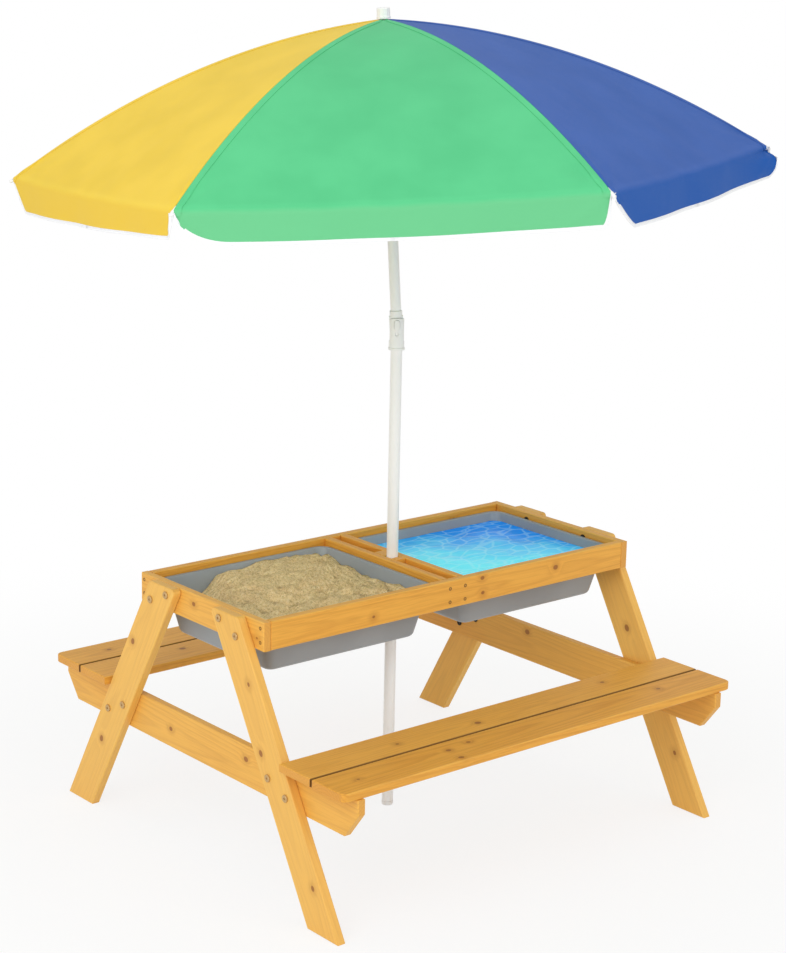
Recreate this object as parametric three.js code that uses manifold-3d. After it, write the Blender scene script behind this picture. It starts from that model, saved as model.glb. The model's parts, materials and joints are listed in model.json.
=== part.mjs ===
import * as THREE from 'three';
import { mergeVertices } from 'three/addons/utils/BufferGeometryUtils.js';
import Module from 'manifold-3d';

const wasm = await Module();
wasm.setup();

// Child's picnic table with two lift-out bins and a tilting parasol
// Millimetres, +Z up, floor at z = 0, benches along X, front bench at -Y, sand bin at -X
// The origin is on the floor, under the parasol pole

// Table frame
const frameLength = 892;
const frameWidth = 382;
const tableTop = 508;
const frameHeight = 53;
const boardThick = 16;
const edgeEase = 1.5;
const seatGap = 0.3;

// Legs and cross rails
const legThick = 18;
const footInner = 346;
const footOuter = 430;
const splayShare = 0.575;
const legTopRadius = 8;
const railBottom = 192;
const railReach = 457;
const railToeReach = 420;
const railToeRise = 48;

// Benches
const benchOverhang = 29;
const benchTop = 284;
const plankThick = 16;
const benchOuter = 454;
const plankGap = 4;
const benchCorner = 12;

// Slot for the pole, and the ledges that carry the bins
const slotWidth = 23;
const frontBlockReach = 26;
const backBlockReach = 40;
const blockHeight = 40;
const ledgeWide = 9;
const ledgeHigh = 12;
const ledgeTop = 490;

// Bolts
const boltRadius = 3;
const boltHeadRadius = 7;
const boltHeadHigh = 3;
const boltCrown = 1.2;
const nutRadius = 6;
const nutHigh = 4;
const topBoltDrop = 35;
const topBoltReach = 133.5;
const railBoltRise = 27;
const railBoltReach = 281;

// Bins
const rimEndPlay = 3.75;
const rimSidePlay = 2.5;
const rimTop = 496.5;
const lipWide = 6;
const lipThick = 3;
const binWall = 2.5;
const binFloor = 396;
const tubEndDraft = 20.5;
const tubSideDraft = 23.5;
const rimCorner = 28;
const floorCorner = 18;
const floorRadius = 9;
const sandLevel = 469;
const moundHigh = 20;
const waterLevel = 479;

// Parasol pole and tilt knuckle
const poleRadius = 11;
const upperPoleRadius = 10;
const tubeWall = 1.2;
const footRadius = 11.2;
const footHigh = 8;
const footPlug = 22;
const tubePlay = 0.4;
const pivotHeight = 941;
const knuckleRadius = 14.5;
const knuckleBelow = 31;
const knuckleLip = 1;
const lipHigh = 4;
const cheekRadius = 30;
const tongueThick = 10;
const tongueRadius = 13;
const tongueFloorGap = 2;
const socketFloor = 3;
const sleeveRadius = 11.8;
const sleeveHigh = 13.5;
const sleeveFloor = 2.5;
const pinRadius = 3;
const pinHeadRadius = 5;
const pinHeadHigh = 1.5;
const pinSetback = 1.5;
const buttonWide = 10;
const buttonTall = 20;
const buttonRise = 17;
const buttonDepth = 6.6;
const buttonProud = 2;
const buttonTravel = 3;

// Parasol head: crown, ribs, stretchers and runner
const canopyRadius = 692;
const headHigh = 575;
const canopyRise = 257;
const startSlopeShare = 0.08;
const hingeRadius = 18;
const hingeDrop = 7.5;
const crownHub = 13.4;
const crownRadius = 24;
const crownFlange = 9;
const crownHubHigh = 19;
const crownClear = 0.4;
const crownTopWall = 6;
const ribWide = 3;
const ribHigh = 6;
const ribClear = 0.45;
const ribOver = 5;
const eyeRadius = 4;
const hingePin = 1.4;
const lugRadius = 262;
const lugDrop = 8;
const lugSize = 3.6;
const stretcherWide = 3.2;
const stretcherHigh = 4.5;
const stretcherEye = 3.4;
const forkCheek = 1.6;
const forkRoot = 6.5;
const forkSize = 3.6;
const runnerUp = 6;
const runnerDown = 22;
const runnerFlange = 9;

// Canopy and its cap
const clothThick = 1.2;
const clothHole = 12;
const seamGap = 0.5;
const tipNotch = 2.5;
const goreSag = 6;
const valanceDrop = 60;
const valanceTaper = 7;
const valanceStub = 2.5;
const frontCut = 75;
const backCut = 18;
const hemWave = 3;
const capRadius = 13;
const capHigh = 20;
const capBase = 4;
const capStem = 5;
const capStemLong = 6;
const flute = 0.8;

// Angles, in degrees
const parasolTurn = 140.8;
const restLean = 3.5;

// Clear overrun of every cut
const overrun = 2;

const RAD = Math.PI / 180;
const SIDES = 24;
const GORES = 6;
const CLOTH_ROWS = 10;

const part = new THREE.Group();
part.name = 'picnic_table_with_bins';

const WOOD = { color: 0xdca352, roughness: 0.55, metalness: 0 };
const WOOD_DARK = { color: 0xcf9442, roughness: 0.55, metalness: 0 };
const BIN = { color: 0x989ba2, roughness: 0.45, metalness: 0 };
const SAND = { color: 0xcdb487, roughness: 0.95, metalness: 0 };
const WATER = { color: 0x6bb6e0, roughness: 0.08, metalness: 0 };
const WHITE = { color: 0xf2f2f0, roughness: 0.4, metalness: 0 };
const STEEL = { color: 0xc9a26a, roughness: 0.4, metalness: 0.6 };
const YELLOW = { color: 0xeecb50, roughness: 0.8, metalness: 0 };
const GREEN = { color: 0x64d291, roughness: 0.8, metalness: 0 };
const BLUE = { color: 0x4869af, roughness: 0.8, metalness: 0 };

// Welds a surface, turns it outward if need be, and gives it flat normals
function weld(geometry) {
  const bare = geometry.clone();
  bare.deleteAttribute('normal');
  bare.deleteAttribute('uv');
  const welded = mergeVertices(bare);
  const position = welded.attributes.position;
  const index = welded.index.array;
  const a = new THREE.Vector3();
  const b = new THREE.Vector3();
  const c = new THREE.Vector3();
  let volume = 0;
  for (let i = 0; i < index.length; i += 3) {
    a.fromBufferAttribute(position, index[i]);
    b.fromBufferAttribute(position, index[i + 1]);
    c.fromBufferAttribute(position, index[i + 2]);
    volume += a.dot(b.cross(c));
  }
  if (volume < 0) {
    for (let i = 0; i < index.length; i += 3) {
      [index[i + 1], index[i + 2]] = [index[i + 2], index[i + 1]];
    }
  }
  welded.computeVertexNormals();
  return welded;
}

function toSolid(geometry) {
  const welded = weld(geometry);
  return new wasm.Manifold(new wasm.Mesh({
    numProp: 3,
    vertProperties: new Float32Array(welded.attributes.position.array),
    triVerts: new Uint32Array(welded.index.array),
  }));
}

function fromSolid(solid) {
  const mesh = solid.getMesh();
  const geometry = new THREE.BufferGeometry();
  geometry.setAttribute('position', new THREE.BufferAttribute(mesh.vertProperties, 3));
  geometry.setIndex(new THREE.BufferAttribute(mesh.triVerts, 1));
  return geometry;
}

function join(base, ...others) {
  return others.reduce((solid, other) => solid.add(toSolid(other)), toSolid(base));
}

function cut(solid, ...tools) {
  return tools.reduce((rest, tool) => rest.subtract(toSolid(tool)), solid);
}

function addPiece(name, geometry, finish, parent = part) {
  const mesh = new THREE.Mesh(weld(geometry), new THREE.MeshStandardMaterial(finish));
  mesh.name = name;
  parent.add(mesh);
  return mesh;
}

// Outline of corners [a, b, radius], each corner rounded by its radius
function outline(corners) {
  const points = [];
  corners.forEach(([a, b, radius = 0], i) => {
    const corner = new THREE.Vector2(a, b);
    if (radius === 0) {
      points.push(corner);
      return;
    }
    const before = corners[(i + corners.length - 1) % corners.length];
    const after = corners[(i + 1) % corners.length];
    const into = new THREE.Vector2(before[0], before[1]).sub(corner).normalize();
    const out = new THREE.Vector2(after[0], after[1]).sub(corner).normalize();
    const half = Math.acos(into.dot(out)) / 2;
    const centre = into.clone().add(out).normalize().multiplyScalar(radius / Math.sin(half)).add(corner);
    const start = into.clone().multiplyScalar(radius / Math.tan(half)).add(corner).sub(centre);
    const turn = (Math.PI - 2 * half) * Math.sign(out.cross(into));
    for (let k = 0; k <= 4; k += 1) {
      points.push(start.clone().rotateAround(new THREE.Vector2(), (turn * k) / 4).add(centre));
    }
  });
  return points;
}

function circle(a, b, radius, sides = 12) {
  return Array.from({ length: sides }, (_, k) => {
    const angle = (2 * Math.PI * k) / sides;
    return new THREE.Vector2(a + radius * Math.cos(angle), b + radius * Math.sin(angle));
  });
}

// Flat piece from 0 to thick, with eased edges and holes
function slab(points, thick, ease = 0, holes = []) {
  const shape = new THREE.Shape(points);
  shape.holes = holes.map((hole) => new THREE.Path(hole));
  const geometry = new THREE.ExtrudeGeometry(shape, {
    depth: thick - 2 * ease,
    bevelEnabled: ease > 0,
    bevelThickness: ease,
    bevelSize: ease,
    bevelOffset: -ease,
    bevelSegments: 1,
    curveSegments: 1,
  });
  return geometry.translate(0, 0, ease);
}

// Stands a slab up: its outline runs along Y and Z, its thickness from x along +X
function alongX(geometry, x) {
  const basis = new THREE.Matrix4().makeBasis(
    new THREE.Vector3(0, 1, 0), new THREE.Vector3(0, 0, 1), new THREE.Vector3(1, 0, 0),
  );
  return geometry.applyMatrix4(basis).translate(x, 0, 0);
}

// Stands a slab up: its outline runs along X and Z, its thickness is centred on y
function alongY(geometry, y, thick) {
  const basis = new THREE.Matrix4().makeBasis(
    new THREE.Vector3(1, 0, 0), new THREE.Vector3(0, 0, 1), new THREE.Vector3(0, -1, 0),
  );
  return geometry.applyMatrix4(basis).translate(0, y + thick / 2, 0);
}

function rectangle(a0, a1, b0, b1) {
  return outline([[a0, b0], [a1, b0], [a1, b1], [a0, b1]]);
}

function box(x0, x1, y0, y1, z0, z1) {
  return new THREE.BoxGeometry(x1 - x0, y1 - y0, z1 - z0)
    .translate((x0 + x1) / 2, (y0 + y1) / 2, (z0 + z1) / 2);
}

// Turned piece about Z from points [radius, z]; the profile closes on itself or on the axis
function turned(points, sides = SIDES) {
  const profile = points.map(([r, z]) => new THREE.Vector2(r, z));
  if (points[0][0] > 0) {
    profile.push(profile[0].clone());
  }
  return new THREE.LatheGeometry(profile, sides).rotateX(Math.PI / 2);
}

function rod(radius, z0, z1, sides = SIDES) {
  return turned([[0, z0], [radius, z0], [radius, z1], [0, z1]], sides);
}

// Turns a piece that stands along Z so that it lies along Y, at the given height
function layAlongY(geometry, x, z) {
  return geometry.rotateX(-Math.PI / 2).translate(x, 0, z);
}

// Closed skin over rings of equally many points, with a fan to the first and last ring's centre
function skin(rings) {
  const count = rings[0].length;
  const points = rings.flat();
  const faces = [];
  rings.slice(1).forEach((_, i) => {
    for (let k = 0; k < count; k += 1) {
      const a = i * count + k;
      const b = i * count + ((k + 1) % count);
      faces.push(a, b, b + count, a, b + count, a + count);
    }
  });
  [rings[0], rings.at(-1)].forEach((ring, end) => {
    const centre = ring.reduce((sum, point) => sum.add(point), new THREE.Vector3()).divideScalar(count);
    points.push(centre);
    const first = end === 0 ? 0 : (rings.length - 1) * count;
    for (let k = 0; k < count; k += 1) {
      const pair = [first + k, first + ((k + 1) % count)];
      faces.push(points.length - 1, ...(end === 0 ? pair.reverse() : pair));
    }
  });
  const geometry = new THREE.BufferGeometry();
  geometry.setAttribute('position', new THREE.Float32BufferAttribute(
    points.flatMap((point) => point.toArray()), 3,
  ));
  geometry.setIndex(faces);
  return geometry;
}

// Ring with the shape of a rounded rectangle
function roundedRing(halfX, halfY, corner, heightAt) {
  const steps = 5;
  const ring = [];
  [[1, 1], [-1, 1], [-1, -1], [1, -1]].forEach(([sx, sy], quadrant) => {
    for (let k = 0; k <= steps; k += 1) {
      const angle = ((quadrant + k / steps) * Math.PI) / 2;
      const x = sx * (halfX - corner) + corner * Math.cos(angle);
      const y = sy * (halfY - corner) + corner * Math.sin(angle);
      ring.push(new THREE.Vector3(x, y, heightAt(x, y)));
    }
  });
  return ring;
}

// Frame boards
const endX = frameLength / 2;
const sideY = frameWidth / 2;
const frameBottom = tableTop - frameHeight;
const bayEnd = endX - boardThick;
const baySide = sideY - boardThick;
const topBoltZ = tableTop - topBoltDrop;
const railBoltZ = railBottom + railBoltRise;
const boltHole = boltRadius + seatGap;

for (const [side, sx] of [['left', -1], ['right', 1]]) {
  const holes = [-1, 1].map((sy) => circle(sy * topBoltReach, topBoltZ, boltHole));
  const board = slab(rectangle(-sideY, sideY, frameBottom, tableTop), boardThick, edgeEase, holes);
  addPiece(`end_board_${side}`, alongX(board, sx > 0 ? bayEnd : -endX), WOOD);
}

for (const [side, sy] of [['front', -1], ['back', 1]]) {
  const reach = bayEnd - seatGap;
  const board = slab(rectangle(-reach, reach, frameBottom, tableTop), boardThick, edgeEase);
  addPiece(`side_board_${side}`, alongY(board, sy * (sideY - boardThick / 2), boardThick), WOOD);
}

// Dividers, notched over the ledges
const dividerX = slotWidth / 2 + boardThick / 2;
const dividerReach = baySide - seatGap;
const notchReach = baySide - ledgeWide - 2 * seatGap;
const ledgeBottom = ledgeTop - ledgeHigh;
for (const [side, sx] of [['left', -1], ['right', 1]]) {
  const corners = [
    [-dividerReach, frameBottom], [dividerReach, frameBottom],
    [dividerReach, ledgeBottom - seatGap], [notchReach, ledgeBottom - seatGap],
    [notchReach, ledgeTop + seatGap], [dividerReach, ledgeTop + seatGap],
    [dividerReach, tableTop], [-dividerReach, tableTop],
    [-dividerReach, ledgeTop + seatGap], [-notchReach, ledgeTop + seatGap],
    [-notchReach, ledgeBottom - seatGap], [-dividerReach, ledgeBottom - seatGap],
  ];
  const board = slab(outline(corners), boardThick, edgeEase);
  addPiece(`divider_${side}`, alongX(board, sx * dividerX - boardThick / 2), WOOD);
}

// Ledges inside the long boards, and the two blocks that hold the pole
for (const [side, sy] of [['front', -1], ['back', 1]]) {
  const reach = bayEnd - seatGap;
  const ledge = slab(rectangle(-reach, reach, ledgeBottom, ledgeTop), ledgeWide, edgeEase / 2);
  addPiece(`ledge_${side}`, alongY(ledge, sy * (baySide - seatGap - ledgeWide / 2), ledgeWide), WOOD_DARK);

  const near = slotWidth / 2;
  const far = sy < 0 ? frontBlockReach : backBlockReach;
  const wide = slotWidth - 2 * seatGap;
  const block = slab(
    rectangle(Math.min(sy * near, sy * far), Math.max(sy * near, sy * far),
      tableTop - blockHeight, tableTop),
    wide, edgeEase / 2,
  );
  addPiece(`pole_block_${side}`, alongX(block, -wide / 2), WOOD_DARK);
}

// Legs outside the end boards, rails inside the legs
const legX = endX + seatGap;
const legReach = (foot, z) => foot - splayShare * z;
const railTop = benchTop - plankThick - seatGap;
for (const [end, sx] of [['left', -1], ['right', 1]]) {
  for (const [side, sy] of [['front', -1], ['back', 1]]) {
    const corners = [
      [sy * footInner, 0], [sy * footOuter, 0],
      [sy * legReach(footOuter, tableTop), tableTop, legTopRadius],
      [sy * legReach(footInner, tableTop), tableTop, legTopRadius],
    ];
    const holes = [
      circle(sy * topBoltReach, topBoltZ, boltHole),
      circle(sy * railBoltReach, railBoltZ, boltHole),
    ];
    const leg = slab(outline(corners), legThick, edgeEase, holes);
    addPiece(`leg_${side}_${end}`, alongX(leg, sx > 0 ? legX : -legX - legThick), WOOD);
  }
  const corners = [
    [-railToeReach, railBottom], [railToeReach, railBottom],
    [railReach, railBottom + railToeRise], [railReach, railTop],
    [-railReach, railTop], [-railReach, railBottom + railToeRise],
  ];
  const holes = [-1, 1].map((sy) => circle(sy * railBoltReach, railBoltZ, boltHole));
  const rail = slab(outline(corners), boardThick, edgeEase, holes);
  addPiece(`cross_rail_${end}`, alongX(rail, sx > 0 ? bayEnd : -endX), WOOD);
}

// Benches, two planks each, starting at the legs' outer edges
const benchUnder = benchTop - plankThick;
const benchInner = legReach(footOuter, benchUnder) + seatGap;
const plankWide = (benchOuter - benchInner - plankGap) / 2;
for (const [side, sy] of [['front', -1], ['back', 1]]) {
  for (const [place, from, corner] of [
    ['inner', benchInner, 0], ['outer', benchInner + plankWide + plankGap, benchCorner],
  ]) {
    const reach = endX + benchOverhang;
    const corners = [
      [-reach, sy * from], [reach, sy * from],
      [reach, sy * (from + plankWide), corner], [-reach, sy * (from + plankWide), corner],
    ];
    const plank = slab(outline(corners), plankThick, edgeEase);
    addPiece(`bench_${side}_${place}_plank`, plank.translate(0, 0, benchUnder), WOOD);
  }
}

// One bolt with its nut in each leg joint
function legBolt(sx, reach, z) {
  const outside = legX + legThick + seatGap;
  const inside = bayEnd - seatGap;
  const bolt = turned([
    [0, inside - nutHigh], [nutRadius, inside - nutHigh], [nutRadius, inside],
    [boltRadius, inside], [boltRadius, outside], [boltHeadRadius, outside],
    [boltHeadRadius, outside + boltHeadHigh - boltCrown],
    [boltHeadRadius - boltCrown, outside + boltHeadHigh], [0, outside + boltHeadHigh],
  ], 12);
  return bolt.rotateY((sx * Math.PI) / 2).translate(0, reach, z);
}
for (const [end, sx] of [['left', -1], ['right', 1]]) {
  for (const [side, sy] of [['front', -1], ['back', 1]]) {
    addPiece(`leg_bolt_${side}_${end}`, legBolt(sx, sy * topBoltReach, topBoltZ), STEEL);
    addPiece(`rail_bolt_${side}_${end}`, legBolt(sx, sy * railBoltReach, railBoltZ), STEEL);
  }
}

// Bins: a tapered tub with a turned-down lip that rests on the ledges
const bayLeft = dividerX + boardThick / 2;
const binX = (bayLeft + bayEnd) / 2;
const tubTopX = (bayEnd - bayLeft) / 2 - rimEndPlay - lipWide;
const tubTopY = baySide - rimSidePlay - lipWide;
const lipUnder = rimTop - lipThick;
const skirtBottom = ledgeTop + seatGap;

// Half sizes and corner of the tub at a height, moved inward by inset
function tubRing(z, inset, heightAt = () => z) {
  const share = (z - binFloor) / (rimTop - binFloor);
  return roundedRing(
    THREE.MathUtils.lerp(tubTopX - tubEndDraft, tubTopX, share) - inset,
    THREE.MathUtils.lerp(tubTopY - tubSideDraft, tubTopY, share) - inset,
    THREE.MathUtils.lerp(floorCorner, rimCorner - lipWide, share) - inset,
    heightAt,
  );
}

// Rings that round the tub's lower edge, from the flat floor up to the wall
function floorRings(floor, inset, radius) {
  return [0, 30, 60, 90].map((degrees) => {
    const rise = radius * (1 - Math.cos(degrees * RAD));
    return tubRing(floor + rise, inset + radius * (1 - Math.sin(degrees * RAD)));
  });
}

function lipRing(outward, z) {
  return roundedRing(tubTopX + outward, tubTopY + outward, rimCorner - lipWide + outward, () => z);
}

const innerFloor = binFloor + binWall;
const innerRadius = floorRadius - binWall;
function tub() {
  return skin([
    ...floorRings(binFloor, 0, floorRadius),
    tubRing(lipUnder, 0),
    lipRing(lipWide - binWall, lipUnder),
    lipRing(lipWide - binWall, skirtBottom),
    lipRing(lipWide, skirtBottom),
    lipRing(lipWide, rimTop - edgeEase),
    lipRing(lipWide - edgeEase, rimTop),
    tubRing(rimTop, binWall - edgeEase),
    tubRing(rimTop - edgeEase, binWall),
    ...floorRings(innerFloor, binWall, innerRadius).reverse(),
  ]);
}

// Filling that stands clear of the tub, its top shaped by a height function
function filling(level, heightAt, steps) {
  const inset = binWall + seatGap;
  const top = [];
  for (let k = 0; k <= steps; k += 1) {
    const share = 1 - (k / steps) * (1 - 1 / (2 * steps));
    const ring = tubRing(level, inset).map((point) => {
      const x = point.x * share;
      const y = point.y * share;
      return new THREE.Vector3(x, y, level + heightAt(x / tubTopX, y / tubTopY));
    });
    top.push(ring);
  }
  return skin([...floorRings(innerFloor + seatGap, inset, innerRadius), ...top]);
}

// A heap against the back wall and two lower ones; places are shares of the half sizes
const moundShares = [[0.5, 0.8, 1], [-0.1, -0.1, 0.35], [0.4, -0.5, 0.25]];
const moundSpreadShare = 0.6;
function sandHeight(x, y) {
  return moundHigh * moundShares.reduce((sum, [mx, my, high]) => {
    const away = ((x - mx) ** 2 + (y - my) ** 2) / moundSpreadShare ** 2;
    return sum + high * Math.exp(-away);
  }, 0);
}

addPiece('sand_bin', tub().translate(-binX, 0, 0), BIN);
addPiece('water_bin', tub().translate(binX, 0, 0), BIN);
addPiece('sand_fill', filling(sandLevel, sandHeight, 9).translate(-binX, 0, 0), SAND);
addPiece('water_fill', filling(waterLevel, () => 0, 2).translate(binX, 0, 0), WATER);

// Parasol: everything below the knuckle is upright, the head leans about the pivot pin
const parasol = new THREE.Group();
parasol.rotation.z = parasolTurn * RAD;
part.add(parasol);
const lean = new THREE.Group();
lean.position.z = pivotHeight;
lean.rotation.y = restLean * RAD;
parasol.add(lean);
const head = new THREE.Group();
head.position.z = -pivotHeight;
lean.add(head);

const footTop = footHigh + seatGap;
const socketBore = poleRadius + seatGap;
const slotFloor = pivotHeight - tongueRadius - tongueFloorGap;
const socketBoreTop = slotFloor - socketFloor;
const poleTop = socketBoreTop - seatGap;

addPiece('pole_foot', turned([
  [0, 0], [footRadius - edgeEase, 0], [footRadius, edgeEase], [footRadius, footHigh],
  [poleRadius - tubeWall - tubePlay, footHigh], [poleRadius - tubeWall - tubePlay, footHigh + footPlug],
  [0, footHigh + footPlug],
]), WHITE, parasol);

addPiece('lower_pole', turned([
  [poleRadius - tubeWall, footTop], [poleRadius, footTop],
  [poleRadius, poleTop], [poleRadius - tubeWall, poleTop],
]), WHITE, parasol);

// Socket with two round cheeks, a slot for the tongue, a pin hole and a recess for the button
const tongueSlot = tongueThick / 2 + seatGap;
const buttonBack = knuckleRadius + buttonProud - buttonDepth;
const buttonZ = pivotHeight + buttonRise;

// Flat oval in X and Z, from y0 to y1
function oval(wide, tall, z, y0, y1) {
  const radius = wide / 2;
  const corners = [
    [-radius, z - tall / 2, radius - edgeEase / 10], [radius, z - tall / 2, radius - edgeEase / 10],
    [radius, z + tall / 2, radius - edgeEase / 10], [-radius, z + tall / 2, radius - edgeEase / 10],
  ];
  return alongY(slab(outline(corners), y1 - y0), (y0 + y1) / 2, y1 - y0);
}

function cheekOutline(radius, half, bottom) {
  const edge = Math.asin(half / radius);
  const points = [new THREE.Vector2(-half, bottom), new THREE.Vector2(half, bottom)];
  for (let k = 0; k <= 12; k += 1) {
    const angle = edge - (2 * edge * k) / 12;
    points.push(new THREE.Vector2(radius * Math.sin(angle), pivotHeight + radius * Math.cos(angle)));
  }
  return points;
}

const cheekWide = 2 * (knuckleRadius + overrun);
const knuckleBottom = pivotHeight - knuckleBelow;
const socketBody = join(
  turned([
    [0, knuckleBottom], [knuckleRadius + knuckleLip, knuckleBottom],
    [knuckleRadius + knuckleLip, knuckleBottom + lipHigh], [knuckleRadius, knuckleBottom + lipHigh + knuckleLip],
    [knuckleRadius, pivotHeight + cheekRadius], [0, pivotHeight + cheekRadius],
  ]),
).intersect(toSolid(alongY(
  slab(cheekOutline(cheekRadius, knuckleRadius + knuckleLip, knuckleBottom - overrun), cheekWide), 0, cheekWide,
)));
const socket = cut(
  socketBody,
  rod(socketBore, knuckleBottom - overrun, socketBoreTop),
  box(-cheekWide, cheekWide, -tongueSlot, tongueSlot, slotFloor, pivotHeight + cheekRadius + overrun),
  layAlongY(rod(pinRadius + seatGap, -cheekWide, cheekWide, 16), 0, pivotHeight),
  oval(buttonWide + 2 * seatGap, buttonTall + 2 * seatGap, buttonZ, buttonBack - buttonTravel - seatGap, cheekWide),
);
addPiece('knuckle_socket', fromSolid(socket), WHITE, parasol);

const pinFront = knuckleRadius - pinSetback;
const pinBack = -knuckleRadius - seatGap;
addPiece('tilt_pin', layAlongY(turned([
  [0, pinBack - pinHeadHigh], [pinHeadRadius, pinBack - pinHeadHigh], [pinHeadRadius, pinBack],
  [pinRadius, pinBack], [pinRadius, pinFront], [0, pinFront],
], 16), 0, pivotHeight), WHITE, parasol);

addPiece('tilt_button', oval(buttonWide, buttonTall, buttonZ, buttonBack, buttonBack + buttonDepth), WHITE, parasol);

// Tongue with the sleeve that takes the upper pole
const sleeveBottom = pivotHeight + cheekRadius + seatGap;
const sleeveTop = sleeveBottom + sleeveHigh;
const upperPoleBottom = sleeveBottom + sleeveFloor + seatGap;
const tonguePlate = cheekOutline(tongueRadius, tongueRadius, sleeveBottom + sleeveFloor)
  .map((point) => new THREE.Vector2(point.x, 2 * pivotHeight - point.y));
const tongueTop = sleeveBottom + sleeveFloor;
tonguePlate[0].y = tongueTop;
tonguePlate[1].y = tongueTop;
const tongue = cut(
  join(
    alongY(slab(tonguePlate, tongueThick), 0, tongueThick),
    turned([
      [0, sleeveBottom], [sleeveRadius, sleeveBottom], [sleeveRadius, sleeveTop - edgeEase],
      [sleeveRadius - edgeEase, sleeveTop], [0, sleeveTop],
    ]),
  ),
  rod(upperPoleRadius + seatGap, tongueTop, sleeveTop + overrun),
  layAlongY(rod(pinRadius + seatGap, -cheekWide, cheekWide, 16), 0, pivotHeight),
);
addPiece('knuckle_tongue', fromSolid(tongue), WHITE, head);

// Radius of a row of the cloth, its half seam at a rib and its height above the rib
function clothRow(share) {
  return THREE.MathUtils.lerp(clothHole, canopyRadius, share);
}

function seamWidth(radius) {
  const share = (radius - clothHole) / (canopyRadius - clothHole);
  return seamGap + tipNotch * share ** 16;
}

const canopyApex = pivotHeight + headHigh;
function ribLine(radius) {
  const drop = canopyRise - startSlopeShare * canopyRadius;
  return canopyApex - startSlopeShare * radius - drop * (radius / canopyRadius) ** 2;
}

// Crown on the pole's top: a pinned slot for each rib
const hingeHeight = canopyApex - startSlopeShare * hingeRadius - hingeDrop;
const crownTop = hingeHeight + crownFlange / 2;
const crownBoreTop = crownTop - crownTopWall;
const hubBottom = crownTop - crownHubHigh;
const ribSlot = ribWide / 2 + seatGap;

function slottedRing(bore, hub, flangeBottom, flangeTop, bottom, top, extra) {
  const profile = [
    [bore, bottom], [hub, bottom], [hub, flangeBottom], [crownRadius, flangeBottom],
    [crownRadius, flangeTop], ...extra, [bore, top],
  ];
  const slots = [];
  for (let k = 0; k < GORES; k += 1) {
    slots.push(box(
      crownHub, crownRadius + overrun, -ribSlot, ribSlot, flangeBottom - overrun, flangeTop + overrun,
    ).rotateZ(k * 60 * RAD));
  }
  return cut(toSolid(turned(profile, 6 * GORES)), ...slots);
}

let crown = slottedRing(
  upperPoleRadius + seatGap, crownHub, crownTop - crownFlange, crownTop, hubBottom, crownBoreTop,
  [[capStem + seatGap, crownTop], [capStem + seatGap, crownBoreTop]],
);
for (let k = 0; k < GORES; k += 1) {
  const pin = layAlongY(rod(hingePin, -ribWide, ribWide, 12), hingeRadius, hingeHeight);
  crown = crown.add(toSolid(pin.rotateZ(k * 60 * RAD)));
}
addPiece('crown', fromSolid(crown), WHITE, head);

addPiece('upper_pole', turned([
  [upperPoleRadius - tubeWall, upperPoleBottom], [upperPoleRadius, upperPoleBottom],
  [upperPoleRadius, crownBoreTop - seatGap], [upperPoleRadius - tubeWall, crownBoreTop - seatGap],
]), WHITE, head);

// Ribs under the cloth, each with an eye at the crown and a lug for its stretcher
function ribCentre(radius) {
  const drop = canopyRise - startSlopeShare * canopyRadius;
  const slope = startSlopeShare + (2 * drop * radius) / canopyRadius ** 2;
  const clothUnder = (clothThick / 2) * Math.hypot(1, slope / Math.cos(30 * RAD));
  const seamFall = (slope * seamWidth(radius)) / 2;
  return ribLine(radius) - clothUnder - seamFall - ribClear - ribHigh / 2;
}
const ribTip = canopyRadius + ribOver;
const lugHeight = ribCentre(lugRadius) - lugDrop;
function ribOutline() {
  const stations = Array.from({ length: CLOTH_ROWS + 1 }, (_, k) => clothRow(k / CLOTH_ROWS))
    .filter((radius) => radius > hingeRadius + 2 * eyeRadius);
  stations.push(ribTip);
  const upper = stations.map((r) => new THREE.Vector2(r, ribCentre(r) + ribHigh / 2));
  const lower = stations.map((r) => new THREE.Vector2(r, ribCentre(r) - ribHigh / 2));
  const lug = [];
  for (let k = 0; k <= 8; k += 1) {
    const angle = -Math.PI * (k / 8);
    lug.push(new THREE.Vector2(
      lugRadius + lugSize * Math.cos(angle), lugHeight + lugSize * Math.sin(angle),
    ));
  }
  const lugTop = ribCentre(lugRadius) - ribHigh / 2;
  const outer = lower.filter((point) => point.x > lugRadius + 2 * lugSize).reverse();
  const inner = lower.filter((point) => point.x < lugRadius - 2 * lugSize).reverse();
  const eye = [];
  for (let k = 0; k <= 8; k += 1) {
    const angle = -Math.PI / 3 - (Math.PI * 4 * k) / 24;
    eye.push(new THREE.Vector2(
      hingeRadius + eyeRadius * Math.cos(angle), hingeHeight + eyeRadius * Math.sin(angle),
    ));
  }
  return [
    ...upper, ...outer, new THREE.Vector2(lugRadius + lugSize, lugTop), ...lug,
    new THREE.Vector2(lugRadius - lugSize, lugTop), ...inner, ...eye,
  ];
}
const ribHoles = [
  circle(hingeRadius, hingeHeight, hingePin + crownClear, 16),
  circle(lugRadius, lugHeight, hingePin + crownClear, 16),
];
const rib = alongY(slab(ribOutline(), ribWide, 0, ribHoles), 0, ribWide);

// Stretchers: as long as the crown hinge is from the lug, so the runner stays under the crown hinge
const lugRun = lugRadius - hingeRadius;
const lugFall = hingeHeight - lugHeight;
const stretcherLong = Math.hypot(lugRun, lugFall);
const stretcherRise = Math.atan2(lugFall, lugRun);
const runnerHeight = hingeHeight - 2 * lugFall;

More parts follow.
